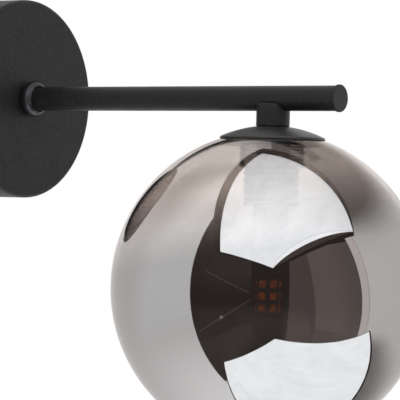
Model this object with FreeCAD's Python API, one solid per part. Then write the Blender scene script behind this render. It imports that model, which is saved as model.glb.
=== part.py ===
"""Globe wall sconce: a smoked glass globe hung under a short black arm on a round wall plate.

X points out of the wall along the arm, Z points up. The origin is on the arm's axis, in the
plane of the wall. All sizes are in millimetres.
"""
import FreeCAD, Part
import math
import os

from FreeCAD import Rotation, Vector

# Driving sizes: the glass globe
globe_diameter = 150.0
globe_wall = 2.2
neck_wall = 1.9
neck_length = 16.0
neck_lip_radius = 1.5
neck_root_radius = 2.0
globe_top_gap = 1.8
gasket_width = 4.2

# Driving sizes: the wall plate and the bracket behind it
plate_diameter = 100.0
plate_depth = 25.0
plate_wall = 1.2
plate_edge_radius = 2.0
bracket_thickness = 1.5
bracket_height = 18.0
tab_height = 14.0
tab_reach = 17.0
wall_slot_spacing = 60.0
wall_slot_width = 4.5
wall_slot_length = 10.0
cable_hole_diameter = 12.0
side_screw_x = 12.5

# Driving sizes: the arm, its collar, its end cap and the saddle under it
arm_diameter = 12.0
arm_wall = 1.5
arm_root_wall = 0.95
shade_reach = 150.0
arm_overhang = 38.0
collar_diameter = 18.0
collar_height = 7.0
collar_gap = 0.6
collar_lip = 1.2
root_thread_depth = 12.0
cap_overhang = 0.5
cap_thickness = 1.2
cap_plug_length = 8.0
saddle_diameter = 16.0
saddle_drop = 13.5
saddle_horn_z = -2.25
saddle_horn_radius = 1.4

# Driving sizes: the dome cap and the lamp holder
dome_diameter = 50.0
dome_thickness = 0.8
dome_seat_margin = 0.5
sleeve_diameter = 26.7
sleeve_wall = 1.2
sleeve_length = 36.7
ceramic_length = 18.5
ceramic_setback = 1.5
ceramic_recess_depth = 4.5
ceramic_recess_gap = 1.6
pin_spacing = 9.0

# Driving sizes: the push-in lamp
lamp_diameter = 17.4
lamp_length = 52.3
lamp_light_length = 20.3
lamp_stub_step = 1.1
lamp_cover_wall = 1.0
carrier_turn = 30.0
chip_rows = 3
chip_row_pitch = 5.75

# Driving sizes: bought screws, nuts, tubes and leads
root_nipple_wall = 1.5
root_nut_width = 14.0
root_nut_thickness = 3.0
saddle_nipple_diameter = 8.0
saddle_nipple_wall = 1.0
saddle_nut_width = 12.0
saddle_nut_thickness = 4.0
lock_washer_thickness = 0.8
plate_screw_diameter = 4.0
earth_screw_diameter = 4.0
fixing_screw_diameter = 3.0
bridge_screw_diameter = 2.5
lead_diameter = 2.0
lead_pitch = 2.3

# Clearances: each is the gap on one side
thread_fit = 0.05
neck_clearance = 0.4
hole_clearance = 0.1
saddle_fit = 0.03
plug_fit = 0.05
rim_clearance = 0.17
gasket_clearance = 0.2
holder_clearance = 0.4
carrier_clearance = 0.35
seat_gap = 0.3

# How far a cut runs past a face, and how near two heights count as one
past = 1.0
near = 0.01

# Places worked out from the sizes above
globe_radius = globe_diameter / 2
plate_radius = plate_diameter / 2
arm_radius = arm_diameter / 2
arm_bore_radius = arm_radius - arm_wall
arm_root_x = plate_depth + collar_lip
root_nipple_radius = arm_radius - arm_root_wall - thread_fit
root_nipple_bore_radius = root_nipple_radius - root_nipple_wall
saddle_nipple_radius = saddle_nipple_diameter / 2
cap_front_x = plate_depth + shade_reach + arm_overhang
arm_end_x = cap_front_x - cap_thickness
shade_x = plate_depth + shade_reach
dome_seat_z = -saddle_drop
dome_under_z = dome_seat_z - dome_thickness
globe_top_z = dome_seat_z - globe_top_gap
globe_centre_z = globe_top_z - globe_radius
sleeve_radius = sleeve_diameter / 2
neck_radius = sleeve_radius + neck_clearance
neck_outer_radius = neck_radius + neck_wall
sleeve_bore_radius = sleeve_radius - sleeve_wall
sleeve_bottom_z = dome_under_z - sleeve_length
ceramic_radius = sleeve_bore_radius - holder_clearance
ceramic_bottom_z = sleeve_bottom_z + ceramic_setback
ceramic_top_z = ceramic_bottom_z + ceramic_length
recess_top_z = ceramic_bottom_z + ceramic_recess_depth
lamp_top_z = recess_top_z - seat_gap
lamp_bottom_z = sleeve_bottom_z - lamp_length
lamp_radius = lamp_diameter / 2
lamp_stub_radius = lamp_radius - lamp_stub_step
ceramic_recess_radius = lamp_stub_radius + ceramic_recess_gap


def point(x, z):
    """A point in the upright plane through the arm's axis."""
    return Vector(x, 0, z)


def outline(start, *steps):
    """A closed outline of lines and arcs. A step of two points is an arc through the first."""
    edges = []
    here = point(*start)
    for step in steps + (start,):
        if isinstance(step[0], tuple):
            middle = point(*step[0])
            end = point(*step[1])
            edges.append(Part.Arc(here, middle, end).toShape())
        else:
            end = point(*step)
            if (end - here).Length > 1e-6:
                edges.append(Part.LineSegment(here, end).toShape())
        here = end
    return Part.Wire(edges)


def turned_about_shade(start, *steps):
    """A solid turned about the shade's upright axis, from (radius, height) points."""
    solid = Part.Face(outline(start, *steps)).revolve(Vector(), Vector(0, 0, 1), 360)
    return moved(solid, x=shade_x)


def turned_about_arm(start, *steps):
    """A solid turned about the arm's axis, from (distance from the wall, radius) points."""
    return Part.Face(outline(start, *steps)).revolve(Vector(), Vector(1, 0, 0), 360)


def moved(shape, x=0.0, y=0.0, z=0.0):
    """A copy of a shape, shifted."""
    copy = shape.copy()
    copy.translate(Vector(x, y, z))
    return copy


def rod(radius, start, end):
    """A round bar between two points."""
    way = Vector(*end) - Vector(*start)
    return Part.makeCylinder(radius, way.Length, Vector(*start), way)


def tube(radius, bore, start, end):
    """A round tube between two points."""
    return rod(radius, start, end).cut(rod(bore, start, end))


def bar_out(radius, start_x, end_x, y=0.0, z=0.0):
    """A round bar along X, between two distances from the wall."""
    return rod(radius, (start_x, y, z), (end_x, y, z))


def bar_up(radius, start_z, end_z, x=shade_x, y=0.0):
    """An upright round bar, in the middle of the shade if no place is given."""
    return rod(radius, (x, y, start_z), (x, y, end_z))


def bar_across(radius, start_y, end_y, x, z=0.0):
    """A round bar along Y."""
    return rod(radius, (x, start_y, z), (x, end_y, z))


def edges_where(shape, test):
    """The edges of a shape whose boxes pass a test."""
    return [edge for edge in shape.Edges if test(edge.BoundBox)]


def runs_along(box, axis):
    """True for the box of a straight edge along one axis."""
    lengths = {"x": box.XLength, "y": box.YLength, "z": box.ZLength}
    return lengths.pop(axis) > near and max(lengths.values()) < near


def block(low, high):
    """A rectangular block between two corners."""
    return Part.makeBox(high[0] - low[0], high[1] - low[1], high[2] - low[2], Vector(*low))


def joined(shapes):
    """Touching shapes fused into one clean solid."""
    return shapes[0].multiFuse(shapes[1:]).removeSplitter()


def ball_height(radius, centre_z, distance):
    """The height of the upper half of a ball at a distance from its axis."""
    return centre_z + math.sqrt(radius ** 2 - distance ** 2)


def ball_arc(radius, centre_z, start, end):
    """An arc step over the top of a ball, between two distances from its axis."""
    middle = radius * math.sin((math.asin(start / radius) + math.asin(end / radius)) / 2)
    return ((middle, ball_height(radius, centre_z, middle)), (end, ball_height(radius, centre_z, end)))


def corner_arc(centre, radius, degrees):
    """The middle and end of a quarter round, from its centre, radius and end angle."""
    middle = math.radians(degrees[0] + degrees[1]) / 2
    last = math.radians(degrees[1])
    return tuple(
        (centre[0] + radius * math.cos(angle), centre[1] + radius * math.sin(angle))
        for angle in (middle, last)
    )


def hexagon_nut(width, thickness, bore_radius, start, way):
    """A hexagon nut with both faces chamfered, from its first face along a direction."""
    corner = width / math.sqrt(3)
    angles = [k * math.pi / 3 for k in range(7)]
    ring = [Vector(corner * math.cos(angle), corner * math.sin(angle), 0) for angle in angles]
    nut = Part.Face(Part.makePolygon(ring)).extrude(Vector(0, 0, thickness))
    face_radius = width / 2 * 1.02
    far_radius = face_radius + thickness * 2
    low = Part.makeCone(face_radius, far_radius, thickness)
    high = Part.makeCone(face_radius, far_radius, thickness, Vector(0, 0, thickness), Vector(0, 0, -1))
    nut = nut.common(low).common(high)
    nut = nut.cut(Part.makeCylinder(bore_radius, thickness))
    nut.Placement = FreeCAD.Placement(Vector(*start), Rotation(Vector(0, 0, 1), Vector(*way)))
    return nut


def toothed_washer(inner, outer, thickness, start, way, teeth=12):
    """A lock washer with teeth cut round its outer edge."""
    washer = Part.makeCylinder(outer, thickness).cut(Part.makeCylinder(inner, thickness))
    gap = outer * 0.16
    for k in range(teeth):
        notch = block((outer * 0.8, -gap / 2, 0), (outer * 1.1, gap / 2, thickness))
        notch.rotate(Vector(), Vector(0, 0, 1), 360 * k / teeth)
        washer = washer.cut(notch)
    washer.Placement = FreeCAD.Placement(Vector(*start), Rotation(Vector(0, 0, 1), Vector(*way)))
    return washer


def pan_screw(diameter, length, seat, way):
    """A slotted round-headed screw: its head's flat face is at the seat, its shank runs one way."""
    radius = diameter / 2
    head_radius = diameter * 0.9
    head_height = diameter * 0.55
    brim_height = head_height * 0.55
    crown = ((head_radius * 0.58, head_height * 0.9), (0, head_height))
    screw = Part.Face(
        outline(
            (0, -length),
            (radius, -length),
            (radius, 0),
            (head_radius, 0),
            (head_radius, brim_height),
            crown,
        )
    ).revolve(Vector(), Vector(0, 0, 1), 360)
    slot_width = diameter * 0.22
    slot = block(
        (-diameter, -slot_width / 2, brim_height * 0.8),
        (diameter, slot_width / 2, head_height * 2),
    )
    screw = screw.cut(slot)
    screw.Placement = FreeCAD.Placement(Vector(*seat), Rotation(Vector(0, 0, -1), Vector(*way)))
    return screw


def lead(points, tight_corner=None, tight_radius=None):
    """An insulated lead on straight runs joined by arcs as large as the runs or the room allow."""
    corners = [Vector(*p) for p in points]
    edges = []
    radii = []
    here = corners[0]
    for k in range(1, len(corners) - 1):
        way_in = (corners[k] - corners[k - 1]).normalize()
        way_out = (corners[k + 1] - corners[k]).normalize()
        half_turn = way_in.getAngle(way_out) / 2
        shorter = min((corners[k] - corners[k - 1]).Length, (corners[k + 1] - corners[k]).Length)
        radius = 0.45 * shorter / math.tan(half_turn)
        if k == tight_corner:
            radius = tight_radius
        back = radius * math.tan(half_turn)
        start = corners[k] - way_in * back
        end = corners[k] + way_out * back
        inward = (way_out - way_in).normalize()
        middle = corners[k] + inward * (radius / math.cos(half_turn) - radius)
        edges.append(Part.LineSegment(here, start).toShape())
        edges.append(Part.Arc(start, middle, end).toShape())
        radii.append(round(radius, 1))
        here = end
    edges.append(Part.LineSegment(here, corners[-1]).toShape())
    path = Part.Wire(edges)
    section = Part.Wire(Part.makeCircle(lead_diameter / 2, corners[0], corners[1] - corners[0]))
    solid = path.makePipeShell([section], True, False)
    print("lead radii", radii, "length", round(path.Length, 1))
    return solid


# The wall bracket and what is fastened to it

plate_bore_radius = plate_radius - plate_wall
tab_y = math.sqrt(plate_bore_radius ** 2 - (tab_height / 2) ** 2) - seat_gap
tab_shoulder = 5.0
tab_bend_radius = 0.8
tongue_width = 32.0
tongue_bottom_z = -36.0
tongue_corner = 3.0
pole_pitch = 10.0
pole_count = 3
terminal_top_z = -17.0
terminal_length = 16.0
terminal_body_height = 8.0
terminal_corner = 1.2
turret_radius = 3.6
turret_height = 4.5
turret_inset = 4.0
insert_radius = 2.7
insert_bore_radius = 1.6
insert_setback = 1.0
terminal_screw_radius = 1.45
terminal_screw_sink = 1.2
terminal_screw_slot = (0.5, 0.8)
lead_entry_depth = 3.0
earth_y = -14.0
earth_z = 2.5
boss_radius = 3.4
boss_height = 2.7
lug_thickness = 0.8
lug_radius = 4.0
lug_barrel_radius = 1.7
lug_barrel_length = 5.0
lug_barrel_gap = 0.6
lug_neck_width = 2.8
screw_setback = 0.4

terminal_bottom_z = terminal_top_z - terminal_length
terminal_front_x = bracket_thickness + terminal_body_height
terminal_bore_x = bracket_thickness + terminal_body_height * 0.54
pole_ys = [pole_pitch * (k - (pole_count - 1) / 2) for k in range(pole_count)]
fixing_y = pole_pitch / 2
fixing_z = (terminal_top_z + terminal_bottom_z) / 2
turret_zs = (terminal_top_z - turret_inset, terminal_bottom_z + turret_inset)
boss_front_x = bracket_thickness + boss_height
lug_barrel_x = boss_front_x + lug_barrel_radius
lug_barrel_top_z = earth_z - lug_radius - lug_barrel_gap
lug_barrel_z = lug_barrel_top_z - lug_barrel_length
turret_top_x = terminal_front_x + turret_height


def slot_cut(y, width, length):
    """The space of a wall slot through the bracket, rounded at both ends, along Y."""
    half = (length - width) / 2
    back, front = -past, bracket_thickness + past
    cut = block((back, y - half, -width / 2), (front, y + half, width / 2))
    ends = [bar_out(width / 2, back, front, y + side * half) for side in (-1, 1)]
    return cut.multiFuse(ends)


def wall_bracket():
    """A steel strap with bent end tabs, a lower tongue, two wall slots and a raised earth boss."""
    half = bracket_height / 2
    t = bracket_thickness
    shapes = [
        block((0, -tab_y + tab_shoulder, -half), (t, tab_y - tab_shoulder, half)),
        block((0, -tab_y, -tab_height / 2), (t, tab_y, tab_height / 2)),
        block((0, -tongue_width / 2, tongue_bottom_z), (t, tongue_width / 2, 0)),
        bar_out(boss_radius, 0, boss_front_x, earth_y, earth_z),
    ]
    for side in (-1, 1):
        ys = sorted((side * (tab_y - t), side * tab_y))
        shapes.append(block((0, ys[0], -tab_height / 2), (tab_reach, ys[1], tab_height / 2)))
    strap = joined(shapes)
    bends = edges_where(
        strap, lambda box: runs_along(box, "z") and box.XMax < near and abs(box.YMax) > tab_y - near
    )
    strap = strap.makeFillet(t + tab_bend_radius, bends)
    corners = edges_where(strap, lambda box: runs_along(box, "x") and box.ZMax < tongue_bottom_z + near)
    strap = strap.makeFillet(tongue_corner, corners)
    tips = edges_where(strap, lambda box: runs_along(box, "y") and box.XMin > tab_reach - near)
    strap = strap.makeFillet(tongue_corner, tips)
    earth_hole = earth_screw_diameter / 2 + thread_fit
    fixing_hole = fixing_screw_diameter / 2 + thread_fit
    side_hole = plate_screw_diameter / 2 + thread_fit
    cuts = [slot_cut(side * wall_slot_spacing / 2, wall_slot_width, wall_slot_length) for side in (-1, 1)]
    cuts.append(bar_out(cable_hole_diameter / 2, -past, t + past))
    cuts.append(bar_out(earth_hole, -past, boss_front_x + past, earth_y, earth_z))
    cuts.append(bar_out(fixing_hole, -past, t + past, fixing_y, fixing_z))
    cuts.append(bar_across(side_hole, -tab_y - past, tab_y + past, side_screw_x))
    return strap.cut(cuts[0].multiFuse(cuts[1:]))


def earth_screw():
    """The screw that clamps the earth lug on the bracket's boss."""
    seat = (boss_front_x + lug_thickness, earth_y, earth_z)
    return pan_screw(earth_screw_diameter, seat[0] - screw_setback, seat, (-1, 0, 0))


def earth_lug():
    """A ring lug with a crimped barrel that points down to the terminal block."""
    back, front = boss_front_x, boss_front_x + lug_thickness
    ring = bar_out(lug_radius, back, front, earth_y, earth_z)
    neck_low = (back, earth_y - lug_neck_width / 2, lug_barrel_top_z - past)
    neck = block(neck_low, (front, earth_y + lug_neck_width / 2, earth_z))
    barrel = bar_up(lug_barrel_radius, lug_barrel_z, lug_barrel_top_z, lug_barrel_x, earth_y)
    lug = joined([ring, neck, barrel])
    screw_hole = earth_screw_diameter / 2 + hole_clearance
    hole = bar_out(screw_hole, back - past, front + past, earth_y, earth_z)
    lead_hole = lead_diameter / 2 + hole_clearance
    bore = bar_up(lead_hole, lug_barrel_z - past, lug_barrel_top_z - past, lug_barrel_x, earth_y)
    return lug.cut(hole).cut(bore)


def terminal_block():
    """A moulded block with a round turret over each clamping screw."""
    half = pole_pitch * pole_count / 2
    body = block((bracket_thickness, -half, terminal_bottom_z), (terminal_front_x, half, terminal_top_z))
    body = body.makeFillet(terminal_corner, edges_where(body, lambda box: runs_along(box, "x")))
    insert_hole = insert_radius + thread_fit
    screw_hole = terminal_screw_radius + hole_clearance
    fixing_hole = fixing_screw_diameter / 2 + hole_clearance
    shapes = [body]
    cuts = []
    for y in pole_ys:
        cuts.append(bar_up(insert_hole, terminal_bottom_z - past, terminal_top_z + past, terminal_bore_x, y))
        for z in turret_zs:
            shapes.append(bar_out(turret_radius, terminal_front_x - past, turret_top_x, y, z))
            cuts.append(bar_out(screw_hole, terminal_bore_x, turret_top_x + past, y, z))
    for side in (-1, 1):
        cuts.append(bar_out(fixing_hole, 0, terminal_front_x + past, side * fixing_y, fixing_z))
    return joined(shapes).cut(cuts[0].multiFuse(cuts[1:]))


def terminal_inserts():
    """The brass tube of each pole, with its two screw holes."""
    tubes = []
    for y in pole_ys:
        low = (terminal_bore_x, y, terminal_bottom_z + insert_setback)
        high = (terminal_bore_x, y, terminal_top_z - insert_setback)
        insert = tube(insert_radius, insert_bore_radius, low, high)
        for z in turret_zs:
            hole = bar_out(terminal_screw_radius + thread_fit, terminal_bore_x, terminal_front_x, y, z)
            insert = insert.cut(hole)
        tubes.append(insert)
    return Part.makeCompound(tubes)


def terminal_screws():
    """The slotted clamping screws, each down in its turret."""
    screws = []
    tip_x = terminal_bore_x + lead_diameter / 2 + hole_clearance
    head_x = turret_top_x - terminal_screw_sink
    width, depth = terminal_screw_slot
    for y in pole_ys:
        for z in turret_zs:
            screw = bar_out(terminal_screw_radius, tip_x, head_x, y, z)
            slot_low = (head_x - depth, y - terminal_screw_radius - past, z - width / 2)
            slot_high = (head_x + past, y + terminal_screw_radius + past, z + width / 2)
            screws.append(screw.cut(block(slot_low, slot_high)))
    return Part.makeCompound(screws)


def terminal_fixing_screw():
    """The screw that holds the terminal block on the bracket's tongue."""
    seat = (terminal_front_x, fixing_y, fixing_z)
    return pan_screw(fixing_screw_diameter, terminal_front_x - screw_setback, seat, (-1, 0, 0))


# The back plate and its two side screws

side_screw_end = 2.5

def back_plate():
    """A spun steel cup, open to the wall, with a notch in each side that slides over its screw."""
    front_bore = root_nipple_radius + hole_clearance
    edge_centre = (plate_depth - plate_edge_radius, plate_radius - plate_edge_radius)
    outer_round = corner_arc(edge_centre, plate_edge_radius, (90, 0))
    inner_round = corner_arc(edge_centre, plate_edge_radius - plate_wall, (0, 90))
    cup = turned_about_arm(
        (0, plate_bore_radius),
        (0, plate_radius),
        (edge_centre[0], plate_radius),
        outer_round,
        (plate_depth, front_bore),
        (plate_depth - plate_wall, front_bore),
        (plate_depth - plate_wall, edge_centre[1]),
        inner_round,
    )
    half = plate_screw_diameter / 2 + hole_clearance
    notch = block((-past, -plate_diameter, -half), (side_screw_x, plate_diameter, half))
    round_end = bar_across(half, -plate_diameter, plate_diameter, side_screw_x)
    return cup.cut(notch.fuse(round_end))


def plate_screw(side):
    """A side screw that clamps the plate to the bracket's tab."""
    length = plate_radius - tab_y + bracket_thickness + side_screw_end
    seat = (side_screw_x, side * (plate_radius + thread_fit), 0)
    return pan_screw(plate_screw_diameter, length, seat, (0, -side, 0))


# The arm and how it is held on the plate

root_nipple_inward = 10.5
root_nipple_end_x = plate_depth - root_nipple_inward
collar_bead_flat = 0.1
bushing_flange = 1.5
bushing_edge = 0.4
bushing_wall = 0.7
bushing_length = 4.0
arm_edge = 0.3
cap_rim_radius = 0.5
cap_plug_wall = 1.2
cap_plug_lead_in = 1.5
saddle_chamfer = 0.5


def arm_collar():
    """A round bead that stands on the plate and leaves a narrow gap round the arm's root."""
    outer = collar_diameter / 2
    half = collar_height / 2
    bead = half + collar_bead_flat
    ring = outer - bead
    base = ring + math.sqrt(bead ** 2 - half ** 2)
    opening = arm_radius + collar_gap
    nipple_hole = root_nipple_radius + hole_clearance
    front_x = plate_depth + half + math.sqrt(bead ** 2 - (opening - ring) ** 2)
    return turned_about_arm(
        (plate_depth, nipple_hole),
        (plate_depth, base),
        ((plate_depth + half, outer), (front_x, opening)),
        (arm_root_x, opening),
        (arm_root_x, nipple_hole),
    )


def arm_root_nipple():
    """The threaded tube that joins the arm to the plate and lets the leads through."""
    end_x = arm_root_x + root_thread_depth - 1.0
    start = (root_nipple_end_x, 0, 0)
    return tube(root_nipple_radius, root_nipple_bore_radius, start, (end_x, 0, 0))


def arm_lock_washer():
    """The toothed washer between the plate and the arm's nut."""
    start = (plate_depth - plate_wall - lock_washer_thickness, 0, 0)
    inner = root_nipple_radius + hole_clearance
    return toothed_washer(inner, root_nut_width * washer_share, lock_washer_thickness, start, (1, 0, 0))


def arm_lock_nut():
    """The thin nut that draws the arm and its collar against the plate."""
    start_x = plate_depth - plate_wall - lock_washer_thickness - root_nut_thickness
    bore = root_nipple_radius + thread_fit
    return hexagon_nut(root_nut_width, root_nut_thickness, bore, (start_x, 0, 0), (1, 0, 0))


def wire_bushing():
    """A plastic bush that keeps the leads off the nipple's edge."""
    flange_x = root_nipple_end_x - bushing_flange
    end_x = root_nipple_end_x + bushing_length
    sleeve = root_nipple_bore_radius - hole_clearance
    bore = sleeve - bushing_wall
    return turned_about_arm(
        (flange_x, bore + bushing_edge),
        (flange_x, root_nipple_radius - bushing_edge),
        (root_nipple_end_x, root_nipple_radius),
        (root_nipple_end_x, sleeve),
        (end_x, sleeve),
        (end_x, bore),
        (flange_x + bushing_edge, bore),
    )


def arm_tube():
    """The steel arm, tapped at its root, with a hole under the shade and small edge chamfers."""
    thread = root_nipple_radius + thread_fit
    arm = turned_about_arm(
        (arm_root_x, thread),
        (arm_root_x, arm_radius - arm_edge),
        (arm_root_x + arm_edge, arm_radius),
        (arm_end_x, arm_radius),
        (arm_end_x, arm_bore_radius),
        (arm_root_x + root_thread_depth, arm_bore_radius),
        (arm_root_x + root_thread_depth, thread),
    )
    return arm.cut(bar_up(saddle_nipple_radius + thread_fit, -arm_diameter, 0))


def arm_end_cap():
    """A flat round cap whose hollow plug presses into the arm's open end."""
    cap_radius = arm_radius + cap_overhang
    plug = arm_bore_radius - plug_fit
    plug_start_x = arm_end_x - cap_plug_length
    rim_centre = (cap_front_x - cap_rim_radius, cap_radius - cap_rim_radius)
    return turned_about_arm(
        (plug_start_x, plug - cap_plug_wall),
        (plug_start_x, plug - cap_rim_radius),
        (plug_start_x + cap_plug_lead_in, plug),
        (arm_end_x, plug),
        (arm_end_x, cap_radius),
        (rim_centre[0], cap_radius),
        corner_arc(rim_centre, cap_rim_radius, (90, 0)),
        (cap_front_x, 0),
        (arm_end_x, 0),
        (arm_end_x, plug - cap_plug_wall),
    )


def arm_saddle():
    """The round block under the arm, its top cut to a fish mouth that fits the arm."""
    radius = saddle_diameter / 2
    horn_centre = (radius - saddle_horn_radius, saddle_horn_z - saddle_horn_radius)
    saddle = turned_about_shade(
        (0, dome_seat_z),
        (radius - saddle_chamfer, dome_seat_z),
        (radius, dome_seat_z + saddle_chamfer),
        (radius, horn_centre[1]),
        corner_arc(horn_centre, saddle_horn_radius, (0, 90)),
        (0, saddle_horn_z),
    )
    mouth = bar_out(arm_radius + saddle_fit, shade_x - saddle_diameter, shade_x + saddle_diameter)
    hole = bar_up(saddle_nipple_radius + thread_fit, dome_seat_z - past, 0)
    return saddle.cut(mouth).cut(hole)


# The dome cap and the lamp holder under it

dome_radius = dome_diameter / 2
dome_seat_radius = saddle_diameter / 2 + dome_seat_margin
dome_rim_z = ball_height(globe_radius, globe_centre_z, dome_radius) + rim_clearance
dome_centre_z = (dome_radius ** 2 + dome_rim_z ** 2 - dome_seat_radius ** 2 - dome_under_z ** 2) / (
    2 * (dome_rim_z - dome_under_z)
)
dome_inner_ball = math.hypot(dome_seat_radius, dome_under_z - dome_centre_z)
dome_outer_ball = dome_inner_ball + dome_thickness
dome_lip = 0.2
sleeve_top_wall = 1.5
sleeve_shoulder_drop = 2.2
sleeve_top_radius = saddle_diameter / 2
sleeve_edge = 0.4
washer_share = 0.6
bridge_top_z = dome_under_z - sleeve_top_wall
bridge_thickness = 1.0
bridge_width = 10.0
bridge_half_length = 8.4
bridge_foot_reach = 6.0
saddle_washer_z = bridge_top_z - bridge_thickness
saddle_nut_z = saddle_washer_z - lock_washer_thickness
saddle_nipple_bottom_z = saddle_nut_z - saddle_nut_thickness - 1.0
saddle_nipple_rise = 1.3
saddle_nipple_top_z = saddle_nipple_rise - arm_bore_radius
bridge_screw_x = 5.0
bridge_screw_length = 7.0
pin_width = 2.6
pin_thickness = 0.8
pin_length = 10.5
pin_pocket = 2.0
contact_leaf = 0.4
contact_width = 3.2
contact_clearance = 0.2
contact_head = 1.2
contact_foot_gap = 0.4
contact_top_z = lamp_top_z + pin_length + contact_head
ceramic_edge = 0.8


def saddle_nipple():
    """The threaded tube that ties arm, saddle, dome cap and lamp holder together."""
    low = (shade_x, 0, saddle_nipple_bottom_z)
    high = (shade_x, 0, saddle_nipple_top_z)
    return tube(saddle_nipple_radius, saddle_nipple_radius - saddle_nipple_wall, low, high)


def dome_cap():
    """A spun steel cap, flat where the saddle stands on it, curved down to the glass."""
    hole = saddle_nipple_radius + hole_clearance
    seat = math.sqrt(dome_outer_ball ** 2 - (dome_seat_z - dome_centre_z) ** 2)
    outer_rim_z = ball_height(dome_outer_ball, dome_centre_z, dome_radius)
    inner = ball_arc(dome_inner_ball, dome_centre_z, dome_radius, dome_seat_radius)
    return turned_about_shade(
        (hole, dome_seat_z),
        (seat, dome_seat_z),
        ball_arc(dome_outer_ball, dome_centre_z, seat, dome_radius - dome_lip),
        (dome_radius, outer_rim_z - dome_lip),
        (dome_radius, dome_rim_z),
        inner,
        (hole, dome_under_z),
    )


def holder_sleeve():
    """The threaded sleeve that the globe screws on, closed at the top and open below."""
    hole = saddle_nipple_radius + hole_clearance
    shoulder_z = dome_under_z - sleeve_shoulder_drop
    bridge_corner = math.hypot(bridge_half_length, bridge_width / 2)
    return turned_about_shade(
        (hole, dome_under_z),
        (sleeve_top_radius, dome_under_z),
        (sleeve_radius, shoulder_z),
        (sleeve_radius, sleeve_bottom_z + sleeve_edge),
        (sleeve_radius - sleeve_edge, sleeve_bottom_z),
        (sleeve_bore_radius, sleeve_bottom_z),
        (sleeve_bore_radius, shoulder_z - 1.0),
        (bridge_corner + hole_clearance, bridge_top_z),
        (hole, bridge_top_z),
    )


def dome_lock_washer():
    """The toothed washer inside the holder."""
    inner = saddle_nipple_radius + hole_clearance
    outer = saddle_nut_width * washer_share
    start = (shade_x, 0, saddle_washer_z)
    return toothed_washer(inner, outer, lock_washer_thickness, start, (0, 0, -1), teeth=10)


def dome_lock_nut():
    """The nut that clamps holder, cap and saddle to the arm."""
    bore = saddle_nipple_radius + thread_fit
    start = (shade_x, 0, saddle_nut_z)
    return hexagon_nut(saddle_nut_width, saddle_nut_thickness, bore, start, (0, 0, -1))


def holder_bridge():
    """A bent strap that hangs the ceramic body from the nipple inside the sleeve."""
    half_width = bridge_width / 2
    low_z = ceramic_top_z
    shell = block((-bridge_half_length, -half_width, low_z), (bridge_half_length, half_width, bridge_top_z))
    inside = block(
        (-bridge_half_length + bridge_thickness, -half_width, low_z + bridge_thickness),
        (bridge_half_length - bridge_thickness, half_width, bridge_top_z - bridge_thickness),
    )
    gap_half = bridge_half_length - bridge_foot_reach
    gap = block((-gap_half, -half_width, low_z), (gap_half, half_width, low_z + bridge_thickness))
    strap = shell.cut(inside).cut(gap)
    bends = edges_where(
        strap, lambda box: runs_along(box, "y") and abs(abs(box.XMin) - bridge_half_length) < near
    )
    strap = moved(strap.makeFillet(bridge_thickness, bends), x=shade_x)
    strap = strap.cut(bar_up(saddle_nipple_radius + hole_clearance, saddle_washer_z - past, dome_under_z))
    for side in (-1, 1):
        x = shade_x + side * bridge_screw_x
        top_z = low_z + bridge_thickness + past
        strap = strap.cut(bar_up(bridge_screw_diameter / 2 + hole_clearance, low_z - past, top_z, x))
    return strap


def holder_screws():
    """The two screws that hold the ceramic body under the bridge's feet."""
    screws = []
    for side in (-1, 1):
        seat = (shade_x + side * bridge_screw_x, 0, ceramic_top_z + bridge_thickness)
        screws.append(pan_screw(bridge_screw_diameter, bridge_screw_length, seat, (0, 0, -1)))
    return Part.makeCompound(screws)


def holder_ceramic():
    """The ceramic body: lead holes on top, a slot for each lamp pin, a round recess below."""
    edge = ceramic_edge
    body = turned_about_shade(
        (0, ceramic_bottom_z),
        (ceramic_radius - edge, ceramic_bottom_z),
        (ceramic_radius, ceramic_bottom_z + edge),
        (ceramic_radius, ceramic_top_z - edge),
        (ceramic_radius - edge, ceramic_top_z),
        (0, ceramic_top_z),
    )
    half_x = contact_width / 2 + contact_clearance
    half_y = pin_thickness / 2 + thread_fit + contact_leaf + contact_clearance
    screw_foot_z = ceramic_top_z - bridge_screw_length
    cuts = [bar_up(ceramic_recess_radius, ceramic_bottom_z - past, recess_top_z)]
    for side in (-1, 1):
        y = side * pin_spacing / 2
        slot_low = (shade_x - half_x, y - half_y, recess_top_z - past)
        slot_high = (shade_x + half_x, y + half_y, contact_top_z + contact_clearance)
        cuts.append(block(slot_low, slot_high))
        lead_hole = lead_diameter / 2 + hole_clearance
        cuts.append(bar_up(lead_hole, contact_top_z, ceramic_top_z + past, y=y))
        screw_hole = bridge_screw_diameter / 2 + thread_fit
        x = shade_x + side * bridge_screw_x
        cuts.append(bar_up(screw_hole, screw_foot_z, ceramic_top_z + past, x))
    return body.cut(cuts[0].multiFuse(cuts[1:]))


def holder_contacts():
    """A folded spring contact in each slot, one leaf on each side of the lamp's pin."""
    contacts = []
    half_gap = pin_thickness / 2 + thread_fit
    for side in (-1, 1):
        y = side * pin_spacing / 2
        low = (shade_x - contact_width / 2, y - half_gap - contact_leaf, recess_top_z + contact_foot_gap)
        high = (shade_x + contact_width / 2, y + half_gap + contact_leaf, contact_top_z)
        fold = block(low, high)
        gap = block((low[0], y - half_gap, low[2]), (high[0], y + half_gap, contact_top_z - contact_leaf))
        contacts.append(fold.cut(gap))
    return Part.makeCompound(contacts)


# The leads

lead_corner_radius = 5.0
lead_rise = 4.5
lead_step = 1.2
fork_z = saddle_nipple_bottom_z - 1.5
fork_end_z = ceramic_top_z + 1.5
earth_lead_rise = 2.5
earth_lead_entry = 3.0


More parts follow.
